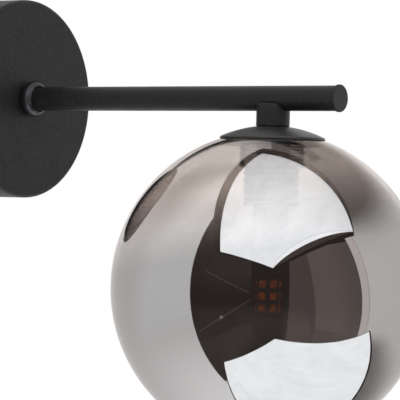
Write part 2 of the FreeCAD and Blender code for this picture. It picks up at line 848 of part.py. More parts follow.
def lamp_lead(side, pole):
    """A lead from its pole through the arm and the saddle nipple to the lamp holder."""
    y = side * lead_pitch / 2
    return lead(
        [
            (terminal_bore_x, pole_ys[pole], terminal_top_z - lead_entry_depth),
            (terminal_bore_x, pole_ys[pole], terminal_top_z + lead_rise),
            (terminal_bore_x + lead_step, y, 0),
            (shade_x, y, 0),
            (shade_x, y, fork_z),
            (shade_x, side * pin_spacing / 2, fork_end_z),
            (shade_x, side * pin_spacing / 2, contact_top_z),
        ],
        tight_corner=3,
        tight_radius=lead_corner_radius,
    )


def earth_lead():
    """The short lead from the earth pole to the lug on the bracket."""
    return lead(
        [
            (terminal_bore_x, pole_ys[0], terminal_top_z - lead_entry_depth),
            (terminal_bore_x, pole_ys[0], terminal_top_z + earth_lead_rise),
            (lug_barrel_x, earth_y, lug_barrel_z - earth_lead_rise),
            (lug_barrel_x, earth_y, lug_barrel_z + earth_lead_entry),
        ]
    )


# The glass globe and its gasket


def glass_globe():
    """A blown ball of even wall, its mouth drawn inwards to a threaded neck."""
    inner_radius = globe_radius - globe_wall
    bottom_z = globe_centre_z - globe_radius
    lip_outer = neck_radius + neck_lip_radius
    lip_z = ball_height(globe_radius, globe_centre_z, lip_outer)
    lip_centre = (lip_outer, lip_z - neck_lip_radius)
    neck_bottom_z = lip_z - neck_length
    neck_mid = (neck_radius + neck_outer_radius) / 2
    root_r = neck_outer_radius + neck_root_radius
    root_ball = inner_radius - neck_root_radius
    root_z = ball_height(root_ball, globe_centre_z, root_r)
    share = inner_radius / root_ball
    root_on_ball = (root_r * share, globe_centre_z + (root_z - globe_centre_z) * share)
    root_middle_angle = (math.pi + math.atan2(root_z - globe_centre_z, root_r)) / 2
    root_middle = (
        root_r + neck_root_radius * math.cos(root_middle_angle),
        root_z + neck_root_radius * math.sin(root_middle_angle),
    )
    return turned_about_shade(
        (0, bottom_z),
        ((globe_radius, globe_centre_z), (lip_outer, lip_z)),
        corner_arc(lip_centre, neck_lip_radius, (90, 180)),
        (neck_radius, neck_bottom_z + neck_wall / 2),
        ((neck_mid, neck_bottom_z), (neck_outer_radius, neck_bottom_z + neck_wall / 2)),
        (neck_outer_radius, root_z),
        (root_middle, root_on_ball),
        ((inner_radius, globe_centre_z), (0, globe_centre_z - inner_radius)),
    )


def globe_gasket():
    """A soft ring between the cap and the glass, shaped by the two balls that it lies between."""
    inner = neck_outer_radius - neck_wall / 2
    outer = inner + gasket_width
    low_ball = globe_radius + gasket_clearance
    high_ball = dome_inner_ball - gasket_clearance
    return turned_about_shade(
        (inner, ball_height(low_ball, globe_centre_z, inner)),
        (inner, ball_height(high_ball, dome_centre_z, inner)),
        ball_arc(high_ball, dome_centre_z, inner, outer),
        (outer, ball_height(low_ball, globe_centre_z, outer)),
        ball_arc(low_ball, globe_centre_z, outer, inner),
    )


# The push-in lamp

lamp_light_z = lamp_bottom_z + lamp_light_length
spigot_length = 2.5
spigot_z = lamp_light_z - spigot_length
cover_bore_radius = lamp_radius - lamp_cover_wall
cover_corner = 3.0
carrier_wall = 1.0
carrier_foot_gap = 1.2
carrier_width = (cover_bore_radius - carrier_clearance) * math.sqrt(2)
carrier_bottom_z = lamp_bottom_z + lamp_cover_wall + carrier_foot_gap
chip_width = 2.8
chip_height = 3.2
chip_thickness = 0.7
chip_column_pitch = 5.2
first_chip_drop = 4.9
first_chip_z = lamp_light_z - first_chip_drop
lamp_shoulder = 2.5
lamp_holder_gap = 0.6
stub_edge = 0.5


def lamp_base():
    """The lamp's moulded body: a stub that enters the holder, a shoulder and a spigot below."""
    spigot_radius = cover_bore_radius - thread_fit
    stub_z = ceramic_bottom_z - lamp_holder_gap
    body = turned_about_shade(
        (0, spigot_z),
        (spigot_radius, spigot_z),
        (spigot_radius, lamp_light_z),
        (lamp_radius, lamp_light_z),
        (lamp_radius, stub_z - lamp_shoulder),
        (lamp_stub_radius, stub_z),
        (lamp_stub_radius, lamp_top_z - stub_edge),
        (lamp_stub_radius - stub_edge, lamp_top_z),
        (0, lamp_top_z),
    )
    for side in (-1, 1):
        y = side * pin_spacing / 2
        half = (pin_width / 2 + plug_fit, pin_thickness / 2 + plug_fit)
        pocket = block(
            (shade_x - half[0], y - half[1], lamp_top_z - pin_pocket),
            (shade_x + half[0], y + half[1], lamp_top_z + 1),
        )
        body = body.cut(pocket)
    return body


def lamp_pins():
    """The two flat pins, each with a round top."""
    pins = []
    for side in (-1, 1):
        y = side * pin_spacing / 2
        low = lamp_top_z - pin_pocket
        round_z = lamp_top_z + pin_length - pin_width / 2
        blade = block(
            (shade_x - pin_width / 2, y - pin_thickness / 2, low),
            (shade_x + pin_width / 2, y + pin_thickness / 2, round_z),
        )
        tip = bar_across(pin_width / 2, y - pin_thickness / 2, y + pin_thickness / 2, shade_x, round_z)
        pins.append(joined([blade, tip]))
    return Part.makeCompound(pins)


def lamp_carrier():
    """A square column of thin boards that carries the light chips."""
    half = carrier_width / 2
    column = block((-half, -half, carrier_bottom_z), (half, half, spigot_z))
    hollow = half - carrier_wall
    inside = block((-hollow, -hollow, carrier_bottom_z + carrier_wall), (hollow, hollow, spigot_z))
    column = column.cut(inside)
    column.rotate(Vector(), Vector(0, 0, 1), carrier_turn)
    return moved(column, x=shade_x)


def lamp_chips():
    """Rows of light chips, two columns on each side of the column of boards."""
    chips = []
    face = carrier_width / 2
    for side in range(4):
        for column in (-0.5, 0.5):
            for row in range(chip_rows):
                y = column * chip_column_pitch
                z = first_chip_z - row * chip_row_pitch
                chip = block(
                    (face, y - chip_width / 2, z - chip_height / 2),
                    (face + chip_thickness, y + chip_width / 2, z + chip_height / 2),
                )
                chip.rotate(Vector(), Vector(0, 0, 1), carrier_turn + 90 * side)
                chips.append(moved(chip, x=shade_x))
    return Part.makeCompound(chips)


def lamp_cover():
    """The clear tube over the chips, closed below with a round edge."""
    centre = (lamp_radius - cover_corner, lamp_bottom_z + cover_corner)
    return turned_about_shade(
        (0, lamp_bottom_z),
        (centre[0], lamp_bottom_z),
        corner_arc(centre, cover_corner, (-90, 0)),
        (lamp_radius, lamp_light_z),
        (cover_bore_radius, lamp_light_z),
        (cover_bore_radius, centre[1]),
        corner_arc(centre, cover_corner - lamp_cover_wall, (0, -90)),
        (0, lamp_bottom_z + lamp_cover_wall),
    )


pieces = {
    "wall_bracket": wall_bracket(),
    "earth_screw": earth_screw(),
    "earth_lug": earth_lug(),
    "terminal_block": terminal_block(),
    "terminal_inserts": terminal_inserts(),
    "terminal_screws": terminal_screws(),
    "terminal_fixing_screw": terminal_fixing_screw(),
    "back_plate": back_plate(),
    "plate_screw_left": plate_screw(-1),
    "plate_screw_right": plate_screw(1),
    "arm_collar": arm_collar(),
    "arm_root_nipple": arm_root_nipple(),
    "arm_lock_washer": arm_lock_washer(),
    "arm_lock_nut": arm_lock_nut(),
    "wire_bushing": wire_bushing(),
    "arm_tube": arm_tube(),
    "arm_end_cap": arm_end_cap(),
    "arm_saddle": arm_saddle(),
    "saddle_nipple": saddle_nipple(),
    "dome_cap": dome_cap(),
    "dome_lock_washer": dome_lock_washer(),
    "dome_lock_nut": dome_lock_nut(),
    "holder_sleeve": holder_sleeve(),
    "holder_bridge": holder_bridge(),
    "holder_screws": holder_screws(),
    "holder_ceramic": holder_ceramic(),
    "holder_contacts": holder_contacts(),
    "lead_live": lamp_lead(1, 2),
    "lead_neutral": lamp_lead(-1, 1),
    "lead_earth": earth_lead(),
    "globe_gasket": globe_gasket(),
    "glass_globe": glass_globe(),
    "lamp_base": lamp_base(),
    "lamp_pins": lamp_pins(),
    "lamp_carrier": lamp_carrier(),
    "lamp_chips": lamp_chips(),
    "lamp_cover": lamp_cover(),
}

os.makedirs("parts", exist_ok=True)
for name, shape in pieces.items():
    shape.exportStep("parts/" + name + ".step")
    print(name, len(shape.Solids), shape.isValid(), round(shape.Volume, 1))
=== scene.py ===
"""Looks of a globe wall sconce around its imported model, laid out as an add-on.

X points out of the wall along the arm and Z points up. All lengths are in metres.
"""
import math
from functools import partialmethod

import bmesh
import bpy
from bpy.props import FloatProperty, FloatVectorProperty, IntProperty, PointerProperty
from bpy.types import Operator, Panel, PropertyGroup
from mathutils import Matrix, Vector


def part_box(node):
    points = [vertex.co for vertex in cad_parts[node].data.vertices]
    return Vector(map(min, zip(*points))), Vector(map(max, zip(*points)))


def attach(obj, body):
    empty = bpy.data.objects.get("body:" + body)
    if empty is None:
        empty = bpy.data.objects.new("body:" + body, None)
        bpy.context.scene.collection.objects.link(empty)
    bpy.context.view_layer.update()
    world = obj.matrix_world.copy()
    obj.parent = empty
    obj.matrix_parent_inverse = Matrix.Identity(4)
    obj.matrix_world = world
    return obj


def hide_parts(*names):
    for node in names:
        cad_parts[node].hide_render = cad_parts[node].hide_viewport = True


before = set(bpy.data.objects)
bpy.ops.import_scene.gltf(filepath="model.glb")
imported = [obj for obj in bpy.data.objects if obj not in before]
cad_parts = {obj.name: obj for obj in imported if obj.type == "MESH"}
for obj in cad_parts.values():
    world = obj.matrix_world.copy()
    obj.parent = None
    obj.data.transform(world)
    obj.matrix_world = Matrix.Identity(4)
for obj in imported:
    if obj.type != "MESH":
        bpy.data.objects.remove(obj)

bl_info = {
    "name": "Globe Wall Sconce",
    "version": (1, 0, 0),
    "blender": (4, 5, 0),
    "location": "View3D > Sidebar > Sconce",
    "description": "Finishes, fine forms and studio of a globe wall sconce",
    "category": "Object",
}

MM = 0.001
QUARTER_TURN = math.pi / 2

# Places that several pieces share, read from the imported model's parts
GLOBE_LOW, GLOBE_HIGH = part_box("glass_globe")
SLEEVE_LOW, SLEEVE_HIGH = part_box("holder_sleeve")
SHADE_X = (GLOBE_LOW.x + GLOBE_HIGH.x) / 2
GLOBE_RADIUS = (GLOBE_HIGH.x - GLOBE_LOW.x) / 2
GLOBE_Z = GLOBE_LOW.z + GLOBE_RADIUS
GLOBE_CENTRE = Vector((SHADE_X, 0, GLOBE_Z))
SLEEVE_RADIUS = SLEEVE_HIGH.x - SHADE_X


def number(name, description, value, **more):
    """A number property."""
    return FloatProperty(name=name, description=description, default=value, **more)


def length(name, description, millimetres):
    """A size property, given in millimetres and kept in metres."""
    return number(name, description, millimetres * MM, unit="LENGTH", precision=5)


def colour(name, description, value):
    """A colour property."""
    return FloatVectorProperty(name=name, description=description, default=value, subtype="COLOR", size=3)


class SconceGlobe(PropertyGroup):
    """Sizes and smoke of the blown globe and of the thread in its neck."""

    wall: length("Wall", "Thickness of the ball's wall", 2.2)
    neck_wall: length("Neck wall", "Thickness of the neck's wall", 1.9)
    neck_length: length("Neck length", "From the lip to the neck's lower end", 16.0)
    neck_clearance: length("Neck clearance", "Gap between the neck and the holder's sleeve", 0.4)
    lip_radius: length("Lip radius", "Rounding where the ball turns into its neck", 1.5)
    root_radius: length("Root radius", "Rounding inside, between ball and neck", 2.0)
    pitch: length("Thread pitch", "Rise of the thread in one turn", 3.0)
    depth: length("Thread depth", "Height of the thread's ridges", 0.7)
    smoke: colour("Smoke", "Tint of the mirror smoke on the lower ball", (0.072, 0.060, 0.058))
    clear: colour("Clear", "Tint of the glass near the top, where the smoke thins", (0.95, 0.87, 0.82))
    fade_high: length("Fade start", "Height at which the smoke starts to thicken", -37.2)
    fade_low: length("Fade end", "Height at which the smoke is full", -69.2)


class SconceFinish(PropertyGroup):
    """Colours and grain of the coats and metals."""

    coat: colour("Powder coat", "Colour of the matt black powder coat", (0.007, 0.007, 0.0075))
    coat_fleck: colour("Coat fleck", "Colour of the coat's raised grains", (0.055, 0.054, 0.053))
    coat_grain: length("Coat grain", "Size of the coat's grain", 0.55)
    satin: colour("Satin black", "Colour of the smooth collar", (0.008, 0.008, 0.010))
    zinc: colour("Zinc", "Colour of the plated steel", (0.52, 0.53, 0.54))
    brass: colour("Brass", "Colour of the terminal inserts", (0.62, 0.44, 0.20))
    ceramic: colour("Ceramic", "Colour of the lamp holder's body", (0.78, 0.76, 0.70))


class SconceLamp(PropertyGroup):
    """Sizes and colours of the lamp's light chips."""

    chip_rows: IntProperty(name="Rows", description="Rows of chips on each side", default=3, min=1)
    dome_height: length("Dome height", "How far a chip's dome stands out", 0.35)
    phosphor: colour("Phosphor", "Colour of the chips' domes", (1.0, 0.20, 0.0))
    # painted light: the chips are unlit, and this glow stands in for the studio light that reaches their
    # phosphor through the smoked glass
    glow: number("Glow", "Strength of the domes' own glow", 1.6, min=0.0)


class SconceStudio(PropertyGroup):
    """Camera, floor and light of the studio."""

    lens: number("Lens", "Focal length on a 36 mm sensor", 249.3, unit="CAMERA")
    roll: number("Roll", "Turn of the camera about its view", math.radians(1.4766), subtype="ANGLE")
    floor_z: length("Floor height", "Height of the pale floor", -300.0)
    floor_radius: length("Floor radius", "Radius at which the floor has faded out", 1500.0)
    softbox: number("Softbox", "Brightness of the two softboxes", 2.35, min=0.0)
    fill: number("Fill", "Strength of the white room's matt light", 0.5, min=0.0)


# Nodes, shared by shader and geometry trees


class Value:
    """An output of a node. Its sums, products and comparisons are Math nodes."""

    def __init__(self, socket):
        self.socket = socket
        self.tree = socket.id_data

    def __getitem__(self, name):
        return Value(self.socket.node.outputs[name])

    def maths(self, operation, *others):
        """A Math node whose first number is this one."""
        return add_node(self.tree, "Math", dict(enumerate((self, *others))), operation=operation)

    def ramp(self, low, high, start=0.0, end=1.0, shape="LINEAR"):
        """The value mapped from one range to another, clamped at both ends."""
        inputs = {"Value": self, "From Min": low, "From Max": high, "To Min": start, "To Max": end}
        return add_node(self.tree, "MapRange", inputs, interpolation_type=shape)


for sign, operation in (("add", "ADD"), ("sub", "SUBTRACT"), ("mul", "MULTIPLY"), ("truediv", "DIVIDE"),
                        ("lt", "LESS_THAN"), ("gt", "GREATER_THAN")):
    setattr(Value, f"__{sign}__", partialmethod(Value.maths, operation))


def feed(value, socket):
    """Links a socket to a node's output, or sets its value. A colour is given without its alpha."""
    if isinstance(value, Value):
        socket.id_data.links.new(value.socket, socket)
    else:
        socket.default_value = (*value, 1.0) if socket.type == "RGBA" else value


def add_node(tree, kind, inputs=None, **settings):
    """A node with its settings and inputs. Returns its first output."""
    # a geometry tree uses its own kinds first, then a shader tree's sums
    families = (tree.bl_idname.removesuffix("Tree"), "ShaderNode", "FunctionNode", "Node")
    family = next(name for name in families if hasattr(bpy.types, name + kind))
    node = tree.nodes.new(family + kind)
    for key, value in settings.items():
        setattr(node, key, value)
    for key, value in (inputs or {}).items():
        feed(value, node.inputs[key])
    return Value(node.outputs[0])


def mix_colours(share, first, second):
    """A blend of two colours, which are this node's seventh and eighth inputs."""
    return add_node(share.tree, "Mix", {0: share, 6: first, 7: second}, data_type="RGBA")[2]


def mix_shaders(share, first, second):
    """A blend of two shaders."""
    return add_node(share.tree, "MixShader", {0: share, 1: first, 2: second})


def vector_maths(operation, *vectors, **more):
    """The result of one sum on vectors or colours."""
    inputs = {**dict(enumerate(vectors)), **more}
    return add_node(vectors[0].tree, "VectorMath", inputs, operation=operation)


def split(vector):
    """A vector's parts, found by X, Y and Z."""
    return add_node(vector.tree, "SeparateXYZ", {0: vector})


def noise(vector, scale, detail=2.0, **more):
    """A cloud of noise."""
    inputs = {"Vector": vector, "Scale": scale, "Detail": detail, **more}
    return add_node(vector.tree, "TexNoise", inputs)


def cells(vector, scale):
    """A pattern of cells: how far a point is from its cell's middle. Its Color is the cell's own."""
    return add_node(vector.tree, "TexVoronoi", {"Vector": vector, "Scale": scale})


def stretched(vector, *scale):
    """Coordinates scaled along each axis."""
    return add_node(vector.tree, "Mapping", {"Vector": vector, "Scale": scale})


def new_tree(name, kind, inputs, outputs):
    """A node tree with named sockets, each given by its default or, where it has none, by its kind.

    Returns what the tree is given and what it puts out.
    """
    tree = bpy.data.node_groups.new(name, kind)
    for way, sockets in (("INPUT", inputs), ("OUTPUT", outputs)):
        for label, value in sockets.items():
            held = value if isinstance(value, str) else type(value).__name__.capitalize()
            socket = tree.interface.new_socket(name=label, in_out=way, socket_type="NodeSocket" + held)
            if held != value:
                socket.default_value = value
    return add_node(tree, "GroupInput"), tree.nodes.new("NodeGroupOutput").inputs


def tree_named(name):
    """A shared tree, built the first time that it is asked for."""
    return bpy.data.node_groups.get(name) or TREE_MAKERS[name](name)


# Effects that materials share


def start_effect(name):
    """The tree of a finish: two colours and two levels of roughness over a pattern of one scale."""
    inputs = {"Vector": "Vector", "Scale": 1000.0, "Colour": "Color", "Second Colour": "Color",
              "Low Roughness": 0.4, "High Roughness": 0.6}
    outputs = {"Colour": "Color", "Roughness": "Float", "Height": "Float"}
    given, result = new_tree(name, "ShaderNodeTree", inputs, outputs)
    return given, result, given["Vector"], given["Scale"]


def end_effect(given, result, share, worn, height):
    """Ends a finish with its second colour's share, how far its roughness rises, and its height."""
    low = given["Low Roughness"]
    feed(mix_colours(share, given["Colour"], given["Second Colour"]), result["Colour"])
    feed(worn * (given["High Roughness"] - low) + low, result["Roughness"])
    feed(height, result["Height"])
    return given.tree


def grain_tree(name):
    """Powder grain: a speckled colour, a matching roughness and a height."""
    given, result, vector, scale = start_effect(name)
    bumps = noise(vector, scale, 3.0, Roughness=0.6)
    broad = noise(vector, scale * 0.06)
    share = bumps.ramp(0.56, 0.72) * broad.ramp(0.3, 0.7, 0.55, 1.0)
    worn = broad.ramp(0.3, 0.7) * 0.5 + bumps * 0.5
    pits = cells(vector, scale * 0.8).ramp(0.0, 0.5)
    return end_effect(given, result, share, worn, pits * 0.35 + bumps)


def plating_tree(name):
    """Plated metal: soft crystal patches, rolling lines and fingered roughness."""
    given, result, vector, scale = start_effect(name)
    tone = add_node(given.tree, "SeparateColor", {0: cells(vector, scale)["Color"]})
    lines = noise(stretched(vector, 1.0, 0.06, 1.0), scale * 12.0)
    smear = noise(vector, scale * 0.4, 4.0, Roughness=0.7)
    share = tone.ramp(0.0, 1.0, 0.1, 0.7) * smear.ramp(0.3, 0.7)
    return end_effect(given, result, share, (lines + smear).ramp(0.7, 1.3), lines * 0.6 + tone * 0.2)


def moulding_tree(name):
    """Moulded plastic, fired clay or rubber: faint clouding, a fine eroded skin and dust."""
    given, result, vector, scale = start_effect(name)
    cloud = noise(vector, scale * 0.05, 4.0, Roughness=0.65)
    dust = (cells(vector, scale * 0.25) < 0.12) * 0.6
    share = cloud.ramp(0.4, 0.75, 0.0, 0.7).maths("MAXIMUM", dust)
    return end_effect(given, result, share, cloud.ramp(0.3, 0.7), noise(vector, scale))


def smoke_tree(name):
    """The smoke of the glass: one colour below, thinning to another near the top, with faint drifts."""
    inputs = {"Vector": "Vector", "Smoke": "Color", "Clear": "Color", "Fade Low": -0.069, "Fade High": -0.042,
              "Axis X": 0.175, "Lean": "Vector", "Neck Radius": 0.0164}
    given, result = new_tree(name, "ShaderNodeTree", inputs, {"Colour": "Color", "Height": "Float"})
    vector = given["Vector"]
    drift = noise(vector, 35.0)
    place = split(vector)
    lean = vector_maths("DOT_PRODUCT", vector, given["Lean"])["Value"]
    height = drift.ramp(0.3, 0.7, -1.0, 1.0) * (1.5 * MM) + place["Z"] - lean
    outward = place["X"] - given["Axis X"]
    ball = (outward * outward + place["Y"] * place["Y"]).maths("SQRT") > given["Neck Radius"]
    share = height.ramp(given["Fade Low"], given["Fade High"]) * ball
    feed(mix_colours(share, given["Smoke"], given["Clear"]), result["Colour"])
    feed(drift, result["Height"])
    return given.tree


# Materials


def object_place(tree):
    """A material's Object coordinates."""
    node = tree.nodes.get("Texture Coordinate") or tree.nodes.new("ShaderNodeTexCoord")
    return Value(node.outputs["Object"])


def effect(tree, name, values):
    """One shared effect placed in a material, with its own values."""
    inputs = {"Vector": object_place(tree), **values}
    return add_node(tree, "Group", inputs, node_tree=tree_named(name))


def plain_material(name, **values):
    """A material that holds one Principled shader. Returns it, its tree and the shader's inputs."""
    material = bpy.data.materials.new(name)
    material.use_nodes = True
    inputs = material.node_tree.nodes["Principled BSDF"].inputs
    for key, value in values.items():
        feed(value, inputs[key])
    return material, material.node_tree, inputs


def add_bump(tree, inputs, height, depth):
    """Turns a height into a shader's normal."""
    feed(add_node(tree, "Bump", {"Height": height, "Distance": depth}), inputs["Normal"])


def finished(name, kind, size, tint, second, roughness, depth, **shader_values):
    """A material whose colour, roughness and bump come from one shared effect."""
    material, tree, inputs = plain_material(name, **shader_values)
    skin = effect(tree, kind, {"Scale": 1 / size, "Colour": tint, "Second Colour": second,
                               "Low Roughness": roughness[0], "High Roughness": roughness[1]})
    feed(skin["Colour"], inputs["Base Color"])
    feed(skin["Roughness"], inputs["Roughness"])
    add_bump(tree, inputs, skin["Height"], depth * MM)
    return material


def powder_coat(name, grain=1.0, roughness=(0.33, 0.5), depth=0.12, sheen=0.21):
    """Matt black powder coat with a fine speckled grain. The sheen is the shader's specular level."""
    finish = bpy.context.scene.sconce_finish
    return finished(name, "Powder Grain", finish.coat_grain * grain, finish.coat, finish.coat_fleck,
                    roughness, depth, **{"Specular IOR Level": sheen})


def shaded(tint, shade):
    """A tint made darker or brighter."""
    return [value * shade for value in tint]


def plated(name, tint, patch=3.0, roughness=(0.24, 0.46)):
    """Bare or plated metal."""
    return finished(name, "Plating", patch * MM, tint, shaded(tint, 0.72), roughness, 0.01, Metallic=1.0)


def moulded(name, tint, roughness, grain=0.4, shade=0.8, depth=0.02, **more):
    """Moulded plastic, fired clay or rubber."""
    return finished(name, "Moulding", grain * MM, tint, shaded(tint, shade), roughness, depth, **more)


def set_material(material, *node_names):
    """Gives CAD nodes a new finish in every slot they have."""
    for name in node_names:
        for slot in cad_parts[name].material_slots:
            slot.material = material


# Geometry trees and what makes plain pieces of them


def end_pieces(pieces, finish, socket):
    """Ends a geometry tree: real meshes, smooth faces and one finish."""
    for kind in ("RealizeInstances", "SetShadeSmooth"):
        pieces = add_node(pieces.tree, kind, {"Geometry": pieces})
    feed(add_node(pieces.tree, "SetMaterial", {"Geometry": pieces, "Material": finish}), socket)
    return pieces.tree


def turned_tree(name):
    """Turns an outline about Z into a closed skin, and runs a thread's ridges over part of it.

    The incoming mesh holds the outline's points in order, each at (radius, 0, height).
    """
    inputs = {"Outline": "Geometry", "Segments": 96, "Pitch": 0.003, "Depth": 0.0, "Thread Low": 0.0,
              "Thread High": 0.0, "Inner Radius": 0.0, "Outer Radius": 1.0, "Run Out": 0.001,
              "Finish": "Material"}
    given, result = new_tree(name, "GeometryNodeTree", inputs, {"Piece": "Geometry"})
    tree, outline = given.tree, given["Outline"]
    count = add_node(tree, "AttributeDomainSize", {0: outline})
    grid = add_node(tree, "MeshGrid", {"Size X": 1.0, "Size Y": 1.0, "Vertices Y": count,
                                                   "Vertices X": given["Segments"] + 1.0})
    # each point of the grid takes the outline point of its row, turned by its column
    index = add_node(tree, "InputIndex")
    column = ((index + 0.5) / count).maths("FLOOR")
    place = add_node(tree, "InputPosition")
    sampling = {0: outline, "Value": place, "Index": index - column * count}
    point = add_node(tree, "SampleIndex", sampling, data_type="FLOAT_VECTOR", domain="POINT")
    radius, height = split(point)["X"], split(point)["Z"]
    turn = column / given["Segments"]
    wave = ((height / given["Pitch"] - turn) * (2 * math.pi)).maths("COSINE")
    low, high, run_out = given["Thread Low"], given["Thread High"], given["Run Out"]
    ridge = wave.ramp(-0.7, 0.8, shape="SMOOTHSTEP")
    ridge *= (radius > given["Inner Radius"]) * (radius < given["Outer Radius"])
    ridge *= height.ramp(low, low + run_out, shape="SMOOTHSTEP")
    ridge *= height.ramp(high, high - run_out, shape="SMOOTHSTEP")
    cut = radius - ridge * given["Depth"]
    angle = turn * (2 * math.pi)
    parts = {"X": cut * angle.maths("COSINE"), "Y": cut * angle.maths("SINE"), "Z": height}
    moved = add_node(tree, "CombineXYZ", parts)
    skin = add_node(tree, "SetPosition", {"Geometry": grid, "Position": moved})
    closed = add_node(tree, "MergeByDistance", {"Geometry": skin, "Distance": 1e-7})
    return end_pieces(closed, given["Finish"], result[0])


def scatter_tree(name):
    """Sets one piece on each point of the incoming mesh, turned by the points' own turn attribute.

    A slot can be sawn across the piece's head first, and each piece may swing a little about its axis.
    """
    inputs = {"Points": "Geometry", "Piece": "Object", "Slot Width": 0.001, "Slot Floor": 1.0, "Swing": 0.0,
              "Seed": 7, "Finish": "Material"}
    given, result = new_tree(name, "GeometryNodeTree", inputs, {"Pieces": "Geometry"})
    tree = given.tree
    piece = add_node(tree, "ObjectInfo", {"Object": given["Piece"]}, transform_space="ORIGINAL")
    saw_size = add_node(tree, "CombineXYZ", {"X": 0.05, "Y": given["Slot Width"], "Z": 0.02})
    saw = add_node(tree, "MeshCube", {"Size": saw_size})
    lift = add_node(tree, "CombineXYZ", {"Z": given["Slot Floor"] + 0.01})
    saw = add_node(tree, "Transform", {"Geometry": saw, "Translation": lift})
    pair = {0: piece["Geometry"], 1: saw}
    sawn = add_node(tree, "MeshBoolean", pair, operation="DIFFERENCE", solver="EXACT")
    turn = add_node(tree, "InputNamedAttribute", {"Name": "turn"}, data_type="FLOAT_VECTOR")
    placing = {"Points": given["Points"], "Instance": sawn, "Rotation": turn}
    placed = add_node(tree, "InstanceOnPoints", placing)
    chance = add_node(tree, "RandomValue", {"Seed": given["Seed"]}, data_type="FLOAT")[1]
    swing = add_node(tree, "CombineXYZ", {"Z": (chance - 0.5) * given["Swing"]})
    swinging = {"Instances": placed, "Rotation": swing, "Local Space": True}
    return end_pieces(add_node(tree, "RotateInstances", swinging), given["Finish"], result[0])


TREE_MAKERS = {
    "Powder Grain": grain_tree,
    "Plating": plating_tree,
    "Moulding": moulding_tree,
    "Smoke": smoke_tree,
    "Turned With Thread": turned_tree,
    "Set On Points": scatter_tree,
}


def mesh_from(name, points, edges=(), faces=()):
    """A mesh from points, edges and faces."""
    mesh = bpy.data.meshes.new(name)
    mesh.from_pydata([tuple(point) for point in points], list(edges), list(faces))
    return mesh


def show(name, data):
    """An object at the origin that holds a mesh or a camera, put in the scene."""
    piece = bpy.data.objects.new(name, data)
    bpy.context.scene.collection.objects.link(piece)
    return piece


def grow(name, seed_mesh, tree_name, values):
    """Runs a geometry tree on a seed mesh and keeps the result as a plain mesh."""
    tree = tree_named(tree_name)
    seed = show(name + "_seed", seed_mesh)
    modifier = seed.modifiers.new(tree_name, "NODES")
    modifier.node_group = tree
    identifiers = {item.name: item.identifier for item in tree.interface.items_tree if item.in_out == "INPUT"}
    for key, value in values.items():
        modifier[identifiers[key]] = value
    bpy.context.view_layer.update()
    shaped = seed.evaluated_get(bpy.context.evaluated_depsgraph_get())
    mesh = bpy.data.meshes.new_from_object(shaped)
    mesh.name = name
    seed.modifiers.remove(modifier)
    bpy.data.objects.remove(seed)
    bpy.data.meshes.remove(seed_mesh)
    return mesh


def settle(mesh, sharp):
    """Turns a closed mesh's faces outwards and keeps edges crisp above an angle in degrees."""
    work = bmesh.new()
    work.from_mesh(mesh)
    if work.calc_volume(signed=True) < 0:
        bmesh.ops.reverse_faces(work, faces=work.faces)
    for edge in work.edges:
        edge.smooth = len(edge.link_faces) == 2 and edge.calc_face_angle(0.0) < math.radians(sharp)
    work.to_mesh(mesh)
    work.free()


def arc(centre, radius, first, last, steps):
    """Points on an arc in the (radius, height) plane, both ends included, with angles in degrees."""
    angles = [math.radians(first + (last - first) * k / steps) for k in range(steps + 1)]
    return [(centre[0] + radius * math.cos(a), centre[1] + radius * math.sin(a)) for a in angles]


def run(first, last, steps):
    """Points on a straight run, without its ends."""
    (r, z), (last_r, last_z) = first, last
    return [(r + (last_r - r) * k / steps, z + (last_z - z) * k / steps) for k in range(1, steps)]


def thread(pitch, depth, low, high, run_out, inner=0.0, outer=1.0):
    """A thread's settings: its ends, how far it runs out at them, and the radii that it is cut between."""
    return {"Pitch": pitch, "Depth": depth, "Thread Low": low, "Thread High": high, "Run Out": run_out,
            "Inner Radius": inner, "Outer Radius": outer}


def turned(name, outline, finish, segments, ridges, axis="z", place=(0, 0, 0), sharp=180):
    """A turned mesh from (radius, height) points, its axis laid along Z or X and moved to its place."""
    edges = [(k, k + 1) for k in range(len(outline) - 1)]
    seed = mesh_from(name + "_outline", [(r, 0, z) for r, z in outline], edges)
    mesh = grow(name, seed, "Turned With Thread", {"Segments": segments, "Finish": finish, **ridges})
    turn = Matrix.Rotation(QUARTER_TURN if axis == "x" else 0, 4, "Y")
    mesh.transform(Matrix.Translation(place) @ turn)
    settle(mesh, sharp)
    return mesh


def on_points(name, piece_mesh, spots, finish, values):
    """A plain mesh of one piece set on many spots, each spot a place and a turn about X, Y and Z."""
    piece = show(name + "_one", piece_mesh)
    seed = mesh_from(name + "_spots", [place for place, turn in spots])
    turns = seed.attributes.new("turn", "FLOAT_VECTOR", "POINT")
    for item, (place, turn) in zip(turns.data, spots):
        item.vector = turn
    mesh = grow(name, seed, "Set On Points", {"Piece": piece, "Finish": finish, **values})
    bpy.data.objects.remove(piece)
    bpy.data.meshes.remove(piece_mesh)
    settle(mesh, 35)
    return mesh


def stand_in(mesh, body, node):
    """Puts a finished mesh in the scene in the place of a CAD node."""
    piece = show(mesh.name, mesh)
    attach(piece, body)
    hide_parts(node)


# The blown globe


